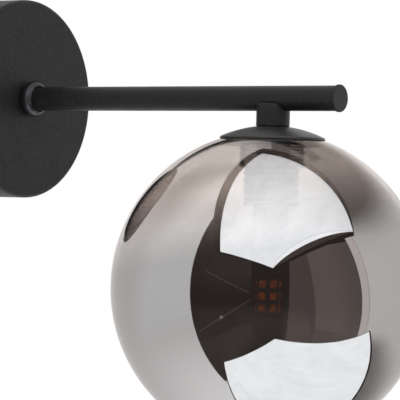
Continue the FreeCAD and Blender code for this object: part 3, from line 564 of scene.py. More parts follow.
def globe_outline(sizes):
    """The globe's outline: ball, lip, threaded neck, root and the ball's inner skin."""
    neck = SLEEVE_RADIUS + sizes.neck_clearance
    outer_neck = neck + sizes.neck_wall
    half = sizes.neck_wall / 2
    inner = GLOBE_RADIUS - sizes.wall
    centre = (0.0, GLOBE_Z)
    lip_x = neck + sizes.lip_radius
    lip_z = GLOBE_Z + math.sqrt(GLOBE_RADIUS ** 2 - lip_x ** 2)
    lip_angle = math.degrees(math.acos(lip_x / GLOBE_RADIUS))
    bore_top = lip_z - sizes.lip_radius
    bore_low = lip_z - sizes.neck_length + half
    root_x = outer_neck + sizes.root_radius
    root_z = GLOBE_Z + math.sqrt((inner - sizes.root_radius) ** 2 - root_x ** 2)
    root_angle = math.degrees(math.atan2(root_z - GLOBE_Z, root_x))
    points = arc(centre, GLOBE_RADIUS, -90, lip_angle, 96)
    points += arc((lip_x, bore_top), sizes.lip_radius, 90, 180, 8)
    points += run((neck, bore_top), (neck, bore_low), 76)
    points += arc((neck + half, bore_low), half, 180, 360, 10)
    points += run((outer_neck, bore_low), (outer_neck, root_z), 60)
    points += arc((root_x, root_z), sizes.root_radius, 180, root_angle, 8)
    return points + arc(centre, inner, root_angle, -90, 72)[1:]


# The smoke climbs a little higher on the side away from the wall
SMOKE_LEAN = Vector((0.162, 0.118, 0.0))

# Refractive index of the mirror coating, and how much of the smoke's tint light keeps on its way through
MIRROR_INDEX = 3.7
PASSING_SHARE = 0.22


def mix_in(tree, share, shader):
    """Mixes another shader into a material's surface."""
    surface = tree.nodes["Material Output"].inputs["Surface"]
    feed(mix_shaders(share, Value(surface.links[0].from_socket), shader), surface)


def clear_shader(tree, tint=(1.0, 1.0, 1.0)):
    """A shader that lets light straight through."""
    return add_node(tree, "BsdfTransparent", {"Color": tint})


def smoked_glass(sizes):
    """Smoked mirror glass: a high index mirrors the room, and the tint thins towards the top."""
    material, tree, inputs = plain_material(
        "smoked_glass", **{"Transmission Weight": 1.0, "Roughness": 0.0, "IOR": MIRROR_INDEX})
    lean = SMOKE_LEAN.x * SHADE_X
    smoke = effect(tree, "Smoke", {
        "Smoke": sizes.smoke, "Clear": sizes.clear, "Fade Low": sizes.fade_low - lean,
        "Fade High": sizes.fade_high - lean, "Axis X": SHADE_X, "Lean": SMOKE_LEAN})
    slant = add_node(tree, "LayerWeight", {"Blend": 0.5})["Facing"].ramp(0.66, 0.84, 1.0, 0.45)
    feed(vector_maths("SCALE", smoke, Scale=slant), inputs["Base Color"])
    add_bump(tree, inputs, smoke["Height"], 0.02 * MM)
    # light that goes straight through to the lamp and the floor is tinted once, not at both skins
    passing = {"Color": vector_maths("SCALE", smoke, Scale=PASSING_SHARE), "Gamma": 0.5}
    through = clear_shader(tree, add_node(tree, "Gamma", passing))
    mix_in(tree, light_path(tree)["Is Shadow Ray"], through)
    return material


def light_path(tree):
    """What kind of ray meets a surface, by name."""
    return add_node(tree, "LightPath")


class SCONCE_OT_globe(Operator):
    """Blow the smoked globe with its threaded neck"""

    bl_idname = "sconce.globe"
    bl_label = "Glass globe"

    def execute(self, context):
        sizes = context.scene.sconce_globe
        top = GLOBE_Z + math.sqrt(GLOBE_RADIUS ** 2 - SLEEVE_RADIUS ** 2)
        low = top - sizes.neck_length + 1.5 * MM
        # the ridges show on both sides of the neck, and the ball starts outside this radius
        neck_reach = 17.0 * MM
        ridges = thread(sizes.pitch, sizes.depth, low, top - 3.0 * MM, 1.5 * MM, outer=neck_reach)
        mesh = turned("glass_globe_blown", globe_outline(sizes), smoked_glass(sizes), 192, ridges,
                      place=(SHADE_X, 0, 0))
        stand_in(mesh, "globe", "glass_globe")
        return {"FINISHED"}


# The lamp holder


def sleeve_outline():
    """The sleeve's outline: closed top with a shoulder, threaded outside, open below."""
    wall, top_wall = 1.2 * MM, 1.5 * MM
    top_radius, hole = 8.0 * MM, 4.1 * MM
    edge = 0.4 * MM
    low, high = SLEEVE_LOW.z, SLEEVE_HIGH.z
    shoulder = (SLEEVE_RADIUS, high - 2.2 * MM)
    foot = (SLEEVE_RADIUS, low + edge)
    bore = SLEEVE_RADIUS - wall
    points = [(hole, high), (top_radius, high), shoulder]
    points += run(shoulder, foot, 130)
    points += [foot, (SLEEVE_RADIUS - edge, low), (bore, low), (bore, shoulder[1] - 1.0 * MM)]
    return points + [(hole + 6.0 * MM, high - top_wall), (hole, high - top_wall), (hole, high)]


class SCONCE_OT_sleeve(Operator):
    """Turn the holder's sleeve with the thread that the globe runs on"""

    bl_idname = "sconce.sleeve"
    bl_label = "Holder sleeve"

    def execute(self, context):
        sizes = context.scene.sconce_globe
        metal = plated("holder_sleeve_metal", (0.17, 0.145, 0.125), patch=2.0, roughness=(0.25, 0.45))
        ridges = thread(sizes.pitch, sizes.depth, SLEEVE_LOW.z + 1.0 * MM, SLEEVE_HIGH.z - 3.0 * MM, 1.0 * MM,
                        inner=SLEEVE_RADIUS - 0.1 * MM)
        mesh = turned("holder_sleeve_threaded", sleeve_outline(), metal, 120, ridges,
                      place=(SHADE_X, 0, 0), sharp=40)
        stand_in(mesh, "fixture", "holder_sleeve")
        return {"FINISHED"}


# Threaded tubes and screws


def tube_outline(outer, bore, low, high, pitch):
    """A tube's outline, its ends chamfered, with enough points for a thread."""
    edge = 0.5 * MM
    steps = max(2, int((high - low) / pitch * 10))
    top, foot = (outer, high - edge), (outer, low + edge)
    points = [(bore, high), (outer - edge, high), top] + run(top, foot, steps)
    return points + [foot, (outer - edge, low), (bore, low), (bore, high)]


class SCONCE_OT_nipples(Operator):
    """Cut the threads of the two hollow tubes that clamp the arm, the saddle and the dome"""

    bl_idname = "sconce.nipples"
    bl_label = "Threaded tubes"

    def execute(self, context):
        zinc = plated("nipple_zinc", context.scene.sconce_finish.zinc, patch=1.5)
        pitch = 1.0 * MM
        for node, axis, bore in (("saddle_nipple", "z", 3.0 * MM), ("arm_root_nipple", "x", 3.5 * MM)):
            along = "xyz".index(axis)
            low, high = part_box(node)
            outer = (high.y - low.y) / 2
            middle = (low + high) / 2
            middle[along] = 0
            low, high = low[along], high[along]
            ridges = thread(pitch, 0.45 * MM, low + 0.3 * MM, high - 0.3 * MM, 0.4 * MM, outer - 0.1 * MM)
            outline = tube_outline(outer, bore, low, high, pitch)
            mesh = turned(node + "_threaded", outline, zinc, 64, ridges, axis, middle, sharp=45)
            stand_in(mesh, "fixture", node)
        return {"FINISHED"}


def screw_outline(radius, shank, head_radius, head):
    """A screw's outline: pointed shank with room for a thread, then a domed head. The seat is at zero."""
    tip = min(0.6 * radius, shank * 0.3)
    brim = 0.55 * head
    shoulder = (radius, -shank + tip)
    steps = max(3, int(shank / (0.36 * radius) * 8))
    points = [(0, -shank), (radius - tip, -shank), shoulder] + run(shoulder, (radius, 0), steps)
    points += [(radius, 0), (head_radius, 0), (head_radius, brim)]
    dome = arc((0.0, 0.0), 1.0, 90 / 8, 90 - 90 / 8, 6)
    return points + [(head_radius * x, brim + (head - brim) * z) for x, z in dome] + [(0, head)]


def headed_screws(node, diameter, axis, finish):
    """Puts slotted screws in the place of a node, which holds one screw or a pair side by side."""
    low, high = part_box(node)
    middle = (low + high) / 2
    along = "xyz".index(axis)
    across = (along + 1) % 3
    sign = -1 if axis == "y" and middle.y < 0 else 1
    turn = {"x": (0, QUARTER_TURN, 0), "y": (-sign * QUARTER_TURN, 0, 0), "z": (0, 0, 0)}[axis]
    radius, head_radius, head = diameter / 2, 0.9 * diameter, 0.55 * diameter
    middle[along] = high[along] - head if sign > 0 else low[along] + head
    apart = (high[across] - low[across]) / 2 - head_radius
    spots = []
    for side in (-1, 1) if apart > 0.1 * MM else (0,):
        place = middle.copy()
        place[across] += side * apart
        spots.append((place, turn))
    shank = high[along] - low[along] - head
    ridges = thread(0.18 * diameter, 0.09 * diameter, 0.1 * diameter - shank, -0.1 * diameter, 0.1 * diameter,
                    radius - 0.05 * MM, radius + 0.05 * MM)
    blank = turned(node + "_blank", screw_outline(radius, shank, head_radius, head), finish, 48, ridges)
    sawing = {"Slot Width": 0.22 * diameter, "Slot Floor": 0.55 * head, "Swing": 1.2, "Seed": along + 3}
    mesh = on_points(node + "_slotted", blank, spots, finish, sawing)
    stand_in(mesh, "fixture", node)


def clamping_screws(zinc):
    """The six headless clamping screws of the terminal block."""
    low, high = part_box("terminal_screws")
    radius, edge = 1.45 * MM, 0.25 * MM
    turn = (0, QUARTER_TURN, 0)
    columns = (low.y + radius, (low.y + high.y) / 2, high.y - radius)
    spots = [((high.x, y, z), turn) for y in columns for z in (low.z + radius, high.z - radius)]
    foot = low.x - high.x
    bottom, top = (radius, foot + edge), (radius, -edge)
    outline = [(0, foot), (radius - edge, foot), bottom] + run(bottom, top, 60)
    outline += [top, (radius - edge, 0), (0, 0)]
    ridges = thread(0.5 * MM, 0.25 * MM, foot + 0.3 * MM, -0.3 * MM, 0.2 * MM, inner=radius - 0.05 * MM)
    blank = turned("terminal_blank", outline, zinc, 32, ridges)
    sawing = {"Slot Width": 0.5 * MM, "Slot Floor": -0.8 * MM, "Swing": 1.0, "Seed": 5}
    mesh = on_points("terminal_screws_slotted", blank, spots, zinc, sawing)
    stand_in(mesh, "fixture", "terminal_screws")


class SCONCE_OT_screws(Operator):
    """Turn, thread and slot every screw, and set each on its spot with a slot angle of its own"""

    bl_idname = "sconce.screws"
    bl_label = "Screws"

    def execute(self, context):
        zinc = plated("screw_zinc", context.scene.sconce_finish.zinc, patch=1.2, roughness=(0.2, 0.4))
        black = powder_coat("screw_black", grain=0.6, roughness=(0.3, 0.45), depth=0.03, sheen=0.4)
        for node, millimetres, axis, material, slot in (
            ("earth_screw", 4.0, "x", zinc, "zinc_steel"),
            ("terminal_fixing_screw", 3.0, "x", zinc, "zinc_steel"),
            ("plate_screw_left", 4.0, "y", black, "black_screw"),
            ("plate_screw_right", 4.0, "y", black, "black_screw"),
            ("holder_screws", 2.5, "z", zinc, "zinc_steel"),
        ):
            headed_screws(node, millimetres * MM, axis, material)
        clamping_screws(zinc)
        return {"FINISHED"}


# The studio

CAMERA_PLACE = Vector((0.92006, -1.08123, -0.05091))
CAMERA_AIM = Vector((0.13050, 0.00407, -0.04899))

# Three corners of each softbox: azimuth and elevation in degrees, and distance from the globe's centre
BOX_HIGH = {"near": (-52.7, 16.1, 1.583), "right": (17.8, 34.8, 0.986), "left": (-92.6, 25.0, 1.383)}
BOX_LOW = {"near": (-49.4, -32.9, 1.60), "right": (24.9, -21.0, 0.986), "left": (-97.3, -48.9, 1.46)}

CLOTH_WHITE = (0.96, 0.975, 1.0)
WALL_WHITE = (1.03, 1.0, 0.985)
DARK = (0.052, 0.042, 0.038)
DIM = (0.165, 0.123, 0.116)


def from_globe(azimuth, elevation, distance):
    """A place in the studio, as seen from the globe's centre. Angles are in degrees."""
    turn, rise = math.radians(azimuth), math.radians(elevation)
    way = Vector((math.cos(rise) * math.cos(turn), math.cos(rise) * math.sin(turn), math.sin(rise)))
    return GLOBE_CENTRE + way * distance


def cleared(data, output):
    """Empties a material's or a world's tree. Returns it and the socket that takes its surface."""
    data.use_nodes = True
    data.node_tree.nodes.clear()
    return data.node_tree, data.node_tree.nodes.new(output).inputs["Surface"]


def glowing(name, tint, across=(), upward=(), straight=False):
    """A glow that only clear glass shows: mirrored in it or, where straight, seen through it.

    Its cover follows (share, cover) stops across and upward.
    """
    material = bpy.data.materials.new(name)
    tree, surface = cleared(material, "ShaderNodeOutputMaterial")
    place = split(add_node(tree, "UVMap"))
    rays = light_path(tree)
    depth = rays["Glossy Depth"]
    cover = rays["Is Singular Ray"] * (depth < 0.5 if straight else depth > 0.5)
    for share, stops in ((place["X"], across), (place["Y"], upward)):
        if stops:
            # each step adds its own rise or fall to the first cover
            profile = stops[0][1]
            for (first, start), (second, end) in zip(stops, stops[1:]):
                profile = share.ramp(first, second, 0.0, end - start, "SMOOTHSTEP") + profile
            cover *= profile
    glow = add_node(tree, "Emission", {"Color": tint, "Strength": 1.0})
    feed(mix_shaders(cover, clear_shader(tree), glow), surface)
    return material


def softbox_cloth(name, strength, middle, far, lip):
    """A softbox cloth: dimmer towards its far corner, faintly creased, with a bowed hem on one side."""
    material = bpy.data.materials.new(name)
    tree, surface = cleared(material, "ShaderNodeOutputMaterial")
    place = add_node(tree, "UVMap")
    across, along = split(place)["X"], split(place)["Y"]
    reach = across * 0.6 + along * 0.4
    crease = noise(place, 4.0, 4.0, Distortion=1.8)
    weave = noise(stretched(place, 3.0, 60.0, 1.0), 1.0)
    bow = across * across.ramp(0.0, 1.0, 4.0, 0.0)
    hem = along - bow * (lip * 1.8)
    level = reach.ramp(0.5, 0.8, 1.0, middle) * crease.ramp(0.3, 0.7, 0.93, 1.05) * strength
    level *= reach.ramp(0.8, 1.0, 1.0, far) * weave.ramp(0.3, 0.7, 0.97, 1.02)
    level *= hem.ramp(-0.001, 0.001, 1.08, 1.0) * hem.maths("ABSOLUTE").ramp(0.0, 0.012, 0.78, 1.0)
    # below the bowed edge the dim room shows
    cloth = (along - bow * lip).ramp(-0.002, 0.002)
    below = (across * bow).ramp(0.0, 0.6, 1.0, 0.8) * cloth.ramp(0.0, 1.0, 1.0, 0.0)
    shown = mix_colours(cloth, DIM, CLOTH_WHITE)
    glow = add_node(tree, "Emission", {"Color": shown, "Strength": level * cloth + below})
    rays = light_path(tree)
    straight = rays["Is Transmission Ray"] * (rays["Glossy Depth"] < 1.0)
    feed(mix_shaders(straight, glow, clear_shader(tree)), surface)
    return material


def card(name, corners, material, steps=12, distance=0.0):
    """A studio card between four corners. Mirrors see it and the camera doesn't.

    With a distance from the globe, the corners are azimuths and elevations on a ball round it.
    """
    low_left, low_right, high_right, high_left = (Vector(corner) for corner in corners)
    row = steps + 1
    shares = [(u / steps, v / steps) for u in range(row) for v in range(row)]
    places = [low_left.lerp(low_right, u).lerp(high_left.lerp(high_right, u), v) for u, v in shares]
    if distance:
        places = [from_globe(*place, distance) for place in places]
    faces = [(a, a + row, a + row + 1, a + 1) for a in range(steps * row) if a % row < steps]
    mesh = mesh_from(name, places, faces=faces)
    layer = mesh.uv_layers.new(name="UVMap")
    for loop in mesh.loops:
        layer.data[loop.index].uv = shares[loop.vertex_index]
    mesh.materials.append(material)
    piece = show(name, mesh)
    piece.visible_camera = False
    return piece


def curved_card(name, west, east, low, high, distance, tint, across=(), upward=()):
    """A card on a ball round the globe. West and east give its azimuths below and above.

    Low and high give its elevations in the west and in the east.
    """
    corners = (west[0], low[0]), (east[0], low[1]), (east[1], high[1]), (west[1], high[0])
    card(name, corners, glowing(name + "_glow", tint, across, upward), 24, distance)


def in_plane(box, spots, back):
    """Places in a softbox's plane, or a step behind: each spot has shares of its two sides."""
    near, right, left = (from_globe(*box[key]) for key in ("near", "right", "left"))
    normal = (right - near).cross(left - near).normalized()
    if normal.dot(near - GLOBE_CENTRE) < 0:
        normal = -normal
    return [near + (right - near) * u + (left - near) * v + normal * back for u, v in spots]


def softbox(name, box, cloth, margin, bottom):
    """A softbox: its cloth and, just behind, the black rim that holds it."""
    card(name, in_plane(box, ((0, 0), (1, 0), (1, 1), (0, 1)), 0.0), cloth)
    low, high = -margin, 1 + margin
    rim = in_plane(box, ((low, bottom), (high, bottom), (high, high), (low, high)), 0.01)
    card(name + "_rim", rim, glowing(name + "_rim_glow", (0.035, 0.028, 0.026)))


def beam(name, first, last, width, tint):
    """A thin straight bar of the camera's stand, between two directions."""
    start, end = from_globe(*first, 2.3), from_globe(*last, 2.3)
    side = (end - start).cross(start - GLOBE_CENTRE).normalized() * (width / 2)
    card(name, (start - side, end - side, end + side, start + side), glowing(name + "_glow", tint), 2)


def backdrop_shade():
    """A soft grey behind the globe's right side, seen through the glass and in nothing else."""
    away = (CAMERA_AIM - CAMERA_PLACE).normalized()
    aside = away.cross(Vector((0, 0, 1))).normalized()
    middle = GLOBE_CENTRE + away * 1.0
    up = Vector((0, 0, 0.4))
    near, far = middle + aside * 0.02, middle + aside * 0.42
    grey = glowing("backdrop_glow", (0.66, 0.65, 0.65), across=((0.0, 0.0), (0.1, 1.0)), straight=True)
    piece = card("backdrop_shade", (near - up, far - up, far + up, near + up), grey)
    piece.visible_glossy = False
    piece.visible_diffuse = False
    piece.visible_shadow = False


def studio_cards(studio):
    """The softboxes, the dark room behind the camera, its paler panels and the light on the walls."""
    cloth = softbox_cloth("cloth_high", studio.softbox, 0.58, 0.72, 0.095)
    softbox("softbox_high", BOX_HIGH, cloth, 0.014, 0.01)
    cloth = softbox_cloth("cloth_low", studio.softbox * 1.05, 0.97, 0.98, 0.0)
    softbox("softbox_low", BOX_LOW, cloth, 0.016, -0.016)
    ceiling = in_plane(BOX_HIGH, ((-0.1, -0.12), (1.02, -0.12), (1.1, 1.09), (-0.1, 1.16)), 0.05)
    card("ceiling", ceiling, glowing("ceiling_glow", DARK))
    shade = in_plane(BOX_LOW, ((1.0, -0.04), (1.15, 0.0), (1.55, 1.3), (1.0, 1.1)), 0.03)
    gloom = ((0.0, 0.7), (1.0, 0.0)), ((0.0, 0.0), (0.25, 1.0))
    card("shade_low", shade, glowing("shade_low_glow", (0.06, 0.045, 0.042), *gloom))
    curved_card("right_shade", (20, 0), (125, 125), (28, 4), (70, 70), 2.65, (0.15, 0.13, 0.12),
                upward=((0.05, 0.0), (0.48, 0.97)))
    curved_card("left_shade", (-235, -235), (-128, -128), (-8, 27), (68, 68), 2.65, (0.02, 0.015, 0.013),
                ((0.0, 0.7), (0.12, 0.45), (0.3, 0.45), (0.5, 0.68), (1.0, 0.0)),
                ((0.0, 0.0), (0.5, 1.0), (0.62, 1.0), (1.0, 0.8)))
    curved_card("dark_room", (-112.6, -112.6), (22.0, 6.0), (-62, -62), (62, 62), 2.6, DARK)
    curved_card("dim_room", (-41, -41), (-13, -22), (-60, -60), (40, 40), 2.5, DIM)
    curved_card("dusk", (-112.6, -112.6), (-68, -68), (-6, -6), (62, 62), 2.55, (0.085, 0.068, 0.064),
                ((0.0, 0.6), (0.6, 1.0)), ((0.0, 0.0), (0.3, 1.0)))
    curved_card("grey_panel", (-19.5, -28.2), (17.6, 9.0), (-25, -25), (31, 31), 2.4, (0.255, 0.205, 0.192),
                ((0.35, 1.0), (1.0, 0.75)))
    curved_card("low_panel", (-20, -20), (17.6, 17.6), (-60, -60), (-24, -24), 2.42, (0.21, 0.165, 0.155))
    curved_card("pale_strip", (18.4, 8.6), (24.5, 15.0), (-32, -32), (34, 34), 2.45, (1.08, 0.97, 0.94))
    curved_card("seam", (24.5, 15.0), (25.4, 15.9), (-32, -32), (34, 34), 2.44, (0.85, 0.75, 0.72))
    curved_card("side_glow", (20.0, 8.0), (110.0, 110.0), (-40, -40), (36, 30), 2.75, (1.16, 1.12, 1.08),
                ((0.0, 1.0), (1.0, 0.5)), ((0.0, 0.0), (0.2, 1.0), (0.75, 1.0), (1.0, 0.0)))
    curved_card("wall_glow", (-190, -165), (-113, -113), (-30, -30), (38, 56), 2.8, (1.18, 1.17, 1.165),
                ((0.0, 0.0), (0.5, 1.0)), ((0.0, 0.0), (0.2, 1.0), (0.8, 1.0), (1.0, 0.0)))
    curved_card("floor_glow", (-260, -260), (-113, -113), (-5, -5), (-78, -78), 2.85, (1.70, 1.68, 1.67),
                upward=((0.0, 0.0), (1.0, 1.0)))
    beam("stand_arm_high", (-101.2, 11.8), (-68.5, -1.5), 0.022, (0.16, 0.15, 0.145))
    beam("stand_arm_low", (-109.6, -27.0), (-68.4, -6.4), 0.022, (0.16, 0.15, 0.145))
    beam("stand_joint", (-90.3, -18.8), (-88.7, -18.0), 0.06, (0.9, 0.88, 0.86))
    backdrop_shade()


def studio_floor(studio):
    """A pale round floor that keeps the shadow and fades into the white backdrop."""
    radius = studio.floor_radius
    pale = {"Base Color": (0.86, 0.86, 0.85), "Roughness": 0.9}
    material, tree, _ = plain_material("studio_floor", **pale)
    away = vector_maths("LENGTH", object_place(tree))["Value"]
    mix_in(tree, away.ramp(radius * 0.35, radius, shape="SMOOTHSTEP"), clear_shader(tree))
    edge = arc((0.0, 0.0), radius, 0.0, 356.25, 95)
    mesh = mesh_from("floor", [(x, y, 0.0) for x, y in edge], faces=[range(len(edge))])
    mesh.materials.append(material)
    floor = show("floor", mesh)
    floor.location = (SHADE_X / 2, 0, studio.floor_z)
    floor.visible_glossy = False
    floor.visible_shadow = False


def studio_world(studio):
    """A white world for the eye, for mirrors and for glass, and a little less for matt light."""
    world = bpy.data.worlds.new("studio_white")
    tree, surface = cleared(world, "ShaderNodeOutputWorld")
    rays = light_path(tree)
    mirrored = rays["Is Glossy Ray"]
    seen = rays["Is Camera Ray"].maths("MAXIMUM", mirrored).maths("MAXIMUM", rays["Is Transmission Ray"])
    white = (1.0, 1.0, 1.0)
    shown = add_node(tree, "Background", {"Color": mix_colours(mirrored, white, WALL_WHITE)})
    matt = add_node(tree, "Background", {"Color": white, "Strength": studio.fill})
    feed(mix_shaders(seen, matt, shown), surface)
    bpy.context.scene.world = world


def studio_camera(studio):
    """The camera, from its place, what it looks at and its roll."""
    data = bpy.data.cameras.new("camera")
    data.lens = studio.lens
    data.sensor_width = 36.0
    data.clip_start = 0.01
    data.clip_end = 50.0
    camera = show("camera", data)
    aim = (CAMERA_AIM - CAMERA_PLACE).to_track_quat("-Z", "Y").to_matrix().to_4x4()
    camera.matrix_world = Matrix.Translation(CAMERA_PLACE) @ aim @ Matrix.Rotation(studio.roll, 4, "Z")
    bpy.context.scene.camera = camera


class SCONCE_OT_studio(Operator):
    """Set up the camera, the floor, the white world and the softboxes"""

    bl_idname = "sconce.studio"
    bl_label = "Studio"

    def execute(self, context):
        studio = context.scene.sconce_studio
        context.scene.view_settings.view_transform = "Standard"
        studio_camera(studio)
        studio_world(studio)
        studio_floor(studio)
        studio_cards(studio)
        return {"FINISHED"}


# Finishes of the pieces whose shape is the model's own


class SCONCE_OT_coats(Operator):
    """Give the plate, arm, cap, saddle and dome their powder coat, and the collar its satin"""

    bl_idname = "sconce.coats"
    bl_label = "Black coats"

    def execute(self, context):
        set_material(powder_coat("black_powder_coat"), "arm_tube", "arm_end_cap", "arm_saddle")
        set_material(powder_coat("black_powder_coat_plate", roughness=(0.42, 0.6), sheen=0.22), "back_plate")
        set_material(powder_coat("black_powder_coat_cap", sheen=0.55), "dome_cap")
        satin = moulded("black_satin", context.scene.sconce_finish.satin, (0.14, 0.24), grain=0.3,
                        shade=1.5, depth=0.004, **{"Specular IOR Level": 0.38})
        set_material(satin, "arm_collar")
        return {"FINISHED"}


class SCONCE_OT_fixings(Operator):
    """Plate the bracket, nuts, washers and the small metal parts"""

    bl_idname = "sconce.fixings"
    bl_label = "Fixings"

    def execute(self, context):
        finish = context.scene.sconce_finish
        set_material(plated("zinc_steel", finish.zinc), "wall_bracket", "arm_lock_washer", "arm_lock_nut",
                     "dome_lock_washer", "dome_lock_nut", "holder_bridge", "lamp_pins")
        brass = plated("brass", finish.brass, 1.5, (0.2, 0.4))
        set_material(brass, "terminal_inserts", "holder_contacts")
        set_material(plated("tinned_copper", (0.66, 0.62, 0.57), 1.5, (0.25, 0.45)), "earth_lug")
        return {"FINISHED"}


def earth_insulation(green):
    """Green insulation with yellow stripes that wind along the lead."""
    tree = green.node_tree
    base = tree.nodes["Principled BSDF"].inputs["Base Color"]
    waves = {"Vector": object_place(tree), "Scale": 130.0, "Distortion": 0.4}
    bands = add_node(tree, "TexWave", waves, bands_direction="DIAGONAL")["Fac"]
    ground = Value(base.links[0].from_socket)
    feed(mix_colours(bands.ramp(0.62, 0.66), ground, (0.62, 0.47, 0.03)), base)


class SCONCE_OT_mouldings(Operator):
    """Finish the terminal block, bush, ceramic, gasket, lamp body and leads"""

    bl_idname = "sconce.mouldings"
    bl_label = "Mouldings and leads"

    def execute(self, context):
        usual = (0.35, 0.55)
        glossy = (0.3, 0.5)
        lead_gloss = (0.3, 0.45)
        green = moulded("lead_green", (0.05, 0.26, 0.05), lead_gloss)
        earth_insulation(green)
        set_material(green, "lead_earth")
        for node, name, tint, roughness in (
            ("terminal_block", "terminal_plastic", (0.62, 0.60, 0.54), glossy),
            ("wire_bushing", "white_plastic", (0.74, 0.73, 0.70), usual),
            ("holder_ceramic", "glazed_ceramic", context.scene.sconce_finish.ceramic, (0.2, 0.4)),
            ("globe_gasket", "gasket_rubber", (0.03, 0.03, 0.03), (0.5, 0.7)),
            ("lamp_base", "lamp_plastic", (0.72, 0.71, 0.68), glossy),
            # painted shade: the white board is given a grey colour so it reads dark in the dim inside of the
            # globe
            ("lamp_carrier", "board_white", (0.30, 0.30, 0.28), usual),
            ("lead_live", "lead_brown", (0.10, 0.035, 0.015), lead_gloss),
            ("lead_neutral", "lead_blue", (0.02, 0.08, 0.36), lead_gloss),
        ):
            set_material(moulded(name, tint, roughness), node)
        return {"FINISHED"}


# The lamp

CHIP_ACROSS = 2.8 * MM
CHIP_UP = 3.2 * MM
CHIP_DEPTH = 0.7 * MM
CHIP_OFFSET = 2.6 * MM
CARRIER_TURN = math.radians(30)


def chip_spots(rows):
    """The places of the chips on the lamp's four boards, in two columns on each."""
    low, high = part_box("lamp_chips")
    # the box round the four turned boards gives their distance from the lamp's axis
    reach = CHIP_OFFSET + CHIP_ACROSS / 2
    board = ((high.x - low.x) / 2 - reach * math.sin(CARRIER_TURN)) / math.cos(CARRIER_TURN)
    spots = []
    for side in range(4):
        angle = CARRIER_TURN + side * QUARTER_TURN
        out = Vector((math.cos(angle), math.sin(angle), 0))
        along = Vector((-out.y, out.x, 0))
        for row in range(rows):
            z = high.z - CHIP_UP / 2 - row * (high.z - low.z - CHIP_UP) / max(1, rows - 1)
            for column in (-1, 1):
                place = Vector((SHADE_X, 0, z)) + out * (board - CHIP_DEPTH) + along * column * CHIP_OFFSET
                spots.append((place, (0, QUARTER_TURN, angle)))
    return spots


def chip_mesh(dome_height):
    """One light chip: a package with a bevelled rim and a domed lens. It lies on Z = 0 and shines along Z."""
    half_up, half_across = CHIP_UP / 2, CHIP_ACROSS / 2
    bevel = 0.12 * MM
    lens = 0.84
    rim = CHIP_DEPTH - dome_height
    rings = [(1.0, 0.0), (1.0, rim - bevel), (1.0 - bevel / half_across, rim), (lens, rim)]
    for k in range(1, 5):
        angle = k / 5 * QUARTER_TURN
        rings.append((lens * math.cos(angle), rim + dome_height * math.sin(angle)))
    corners = 28
    points = []
    for scale, z in rings:
        # a rounded rectangle that turns round towards the top of the lens
        power = 0.28 + 0.72 * max(0.0, (z - rim) / dome_height)
        for k in range(corners):
            across, up = math.sin(2 * math.pi * k / corners), math.cos(2 * math.pi * k / corners)
            x = math.copysign(abs(up) ** power, up) * half_up
            y = math.copysign(abs(across) ** power, across) * half_across
            points.append((x * scale, y * scale, z))
    faces = [tuple(reversed(range(corners)))]
    last = len(points) - corners
    for start in range(0, last, corners):
        for k in range(corners):
            a, b = start + k, start + (k + 1) % corners
            faces.append((a, b, b + corners, a + corners))
    faces += [(last + k, last + (k + 1) % corners, len(points)) for k in range(corners)]
    return mesh_from("chip", points + [(0, 0, CHIP_DEPTH)], faces=faces)


def chip_material(lamp):
    """Phosphor under a clear lens, mottled, with a faint painted glow that stands in for studio light on the
    unlit chips.
    """
    # painted light: this emission lights the unlit chips in place of the studio light that reaches them
    # through the smoked glass
    strength = {"Emission Strength": 1.25 * lamp.glow}
    material = moulded("chip_phosphor", lamp.phosphor, (0.25, 0.45), grain=0.2, **strength)
    tree = material.node_tree
    mottle = noise(object_place(tree), 900.0, 3.0).ramp(0.35, 0.65)
    # the painted glow's colour, mottled between a darker and a full phosphor tone
    glow = mix_colours(mottle, shaded(lamp.phosphor, 0.44), lamp.phosphor)
    feed(glow, tree.nodes["Principled BSDF"].inputs["Emission Color"])
    return material


def cover_material():
    """The lamp's clear plastic cover: faint flow lines in its gloss and skin."""
    material, tree, inputs = plain_material("clear_plastic", **{"Transmission Weight": 1.0, "IOR": 1.49})
    flow = noise(stretched(object_place(tree), 1.0, 1.0, 0.15), 400.0, 3.0)
    tint = mix_colours(flow.ramp(0.3, 0.7), (0.97, 0.98, 0.98), (0.92, 0.93, 0.92))
    feed(tint, inputs["Base Color"])
    feed(flow.ramp(0.3, 0.7, 0.01, 0.05), inputs["Roughness"])
    add_bump(tree, inputs, flow, 0.004 * MM)
    return material


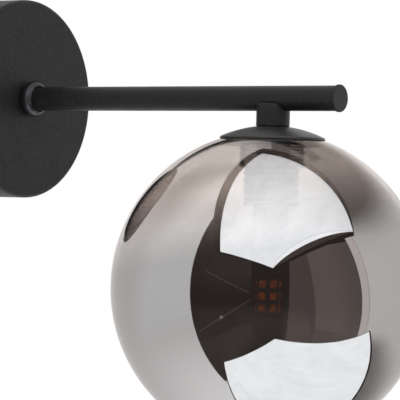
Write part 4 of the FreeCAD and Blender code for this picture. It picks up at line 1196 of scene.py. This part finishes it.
class SCONCE_OT_lamp(Operator):
    """Finish the lamp's clear cover and its light chips"""

    bl_idname = "sconce.lamp"
    bl_label = "Lamp"

    def execute(self, context):
        lamp = context.scene.sconce_lamp
        mesh = on_points("lamp_chips_domed", chip_mesh(lamp.dome_height), chip_spots(lamp.chip_rows),
                         chip_material(lamp), {})
        stand_in(mesh, "lamp", "lamp_chips")
        set_material(cover_material(), "lamp_cover")
        return {"FINISHED"}


OPERATORS = (
    SCONCE_OT_studio,
    SCONCE_OT_coats,
    SCONCE_OT_globe,
    SCONCE_OT_sleeve,
    SCONCE_OT_nipples,
    SCONCE_OT_screws,
    SCONCE_OT_fixings,
    SCONCE_OT_mouldings,
    SCONCE_OT_lamp,
)


class SCONCE_PT_panel(Panel):
    """Lists the sconce's steps in the order they run"""

    bl_idname = "SCONCE_PT_panel"
    bl_label = "Globe wall sconce"
    bl_space_type = "VIEW_3D"
    bl_region_type = "UI"
    bl_category = "Sconce"

    def draw(self, context):
        for step in OPERATORS:
            self.layout.operator(step.bl_idname)


SETTINGS = {
    "sconce_globe": SconceGlobe,
    "sconce_finish": SconceFinish,
    "sconce_lamp": SconceLamp,
    "sconce_studio": SconceStudio,
}


def register():
    """Registers the settings, the operators and the panel."""
    for name, group in SETTINGS.items():
        bpy.utils.register_class(group)
        setattr(bpy.types.Scene, name, PointerProperty(type=group))
    for item in OPERATORS + (SCONCE_PT_panel,):
        bpy.utils.register_class(item)


def unregister():
    """Takes everything back out."""
    for item in reversed(OPERATORS + (SCONCE_PT_panel,)):
        bpy.utils.unregister_class(item)
    for name, group in SETTINGS.items():
        delattr(bpy.types.Scene, name)
        bpy.utils.unregister_class(group)


def main():
    """Builds every piece in order."""
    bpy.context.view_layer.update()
    register()
    bpy.ops.sconce.studio()
    bpy.ops.sconce.coats()
    bpy.ops.sconce.globe()
    bpy.ops.sconce.sleeve()
    bpy.ops.sconce.nipples()
    bpy.ops.sconce.screws()
    bpy.ops.sconce.fixings()
    bpy.ops.sconce.mouldings()
    bpy.ops.sconce.lamp()


if __name__ == "__main__":
    main()
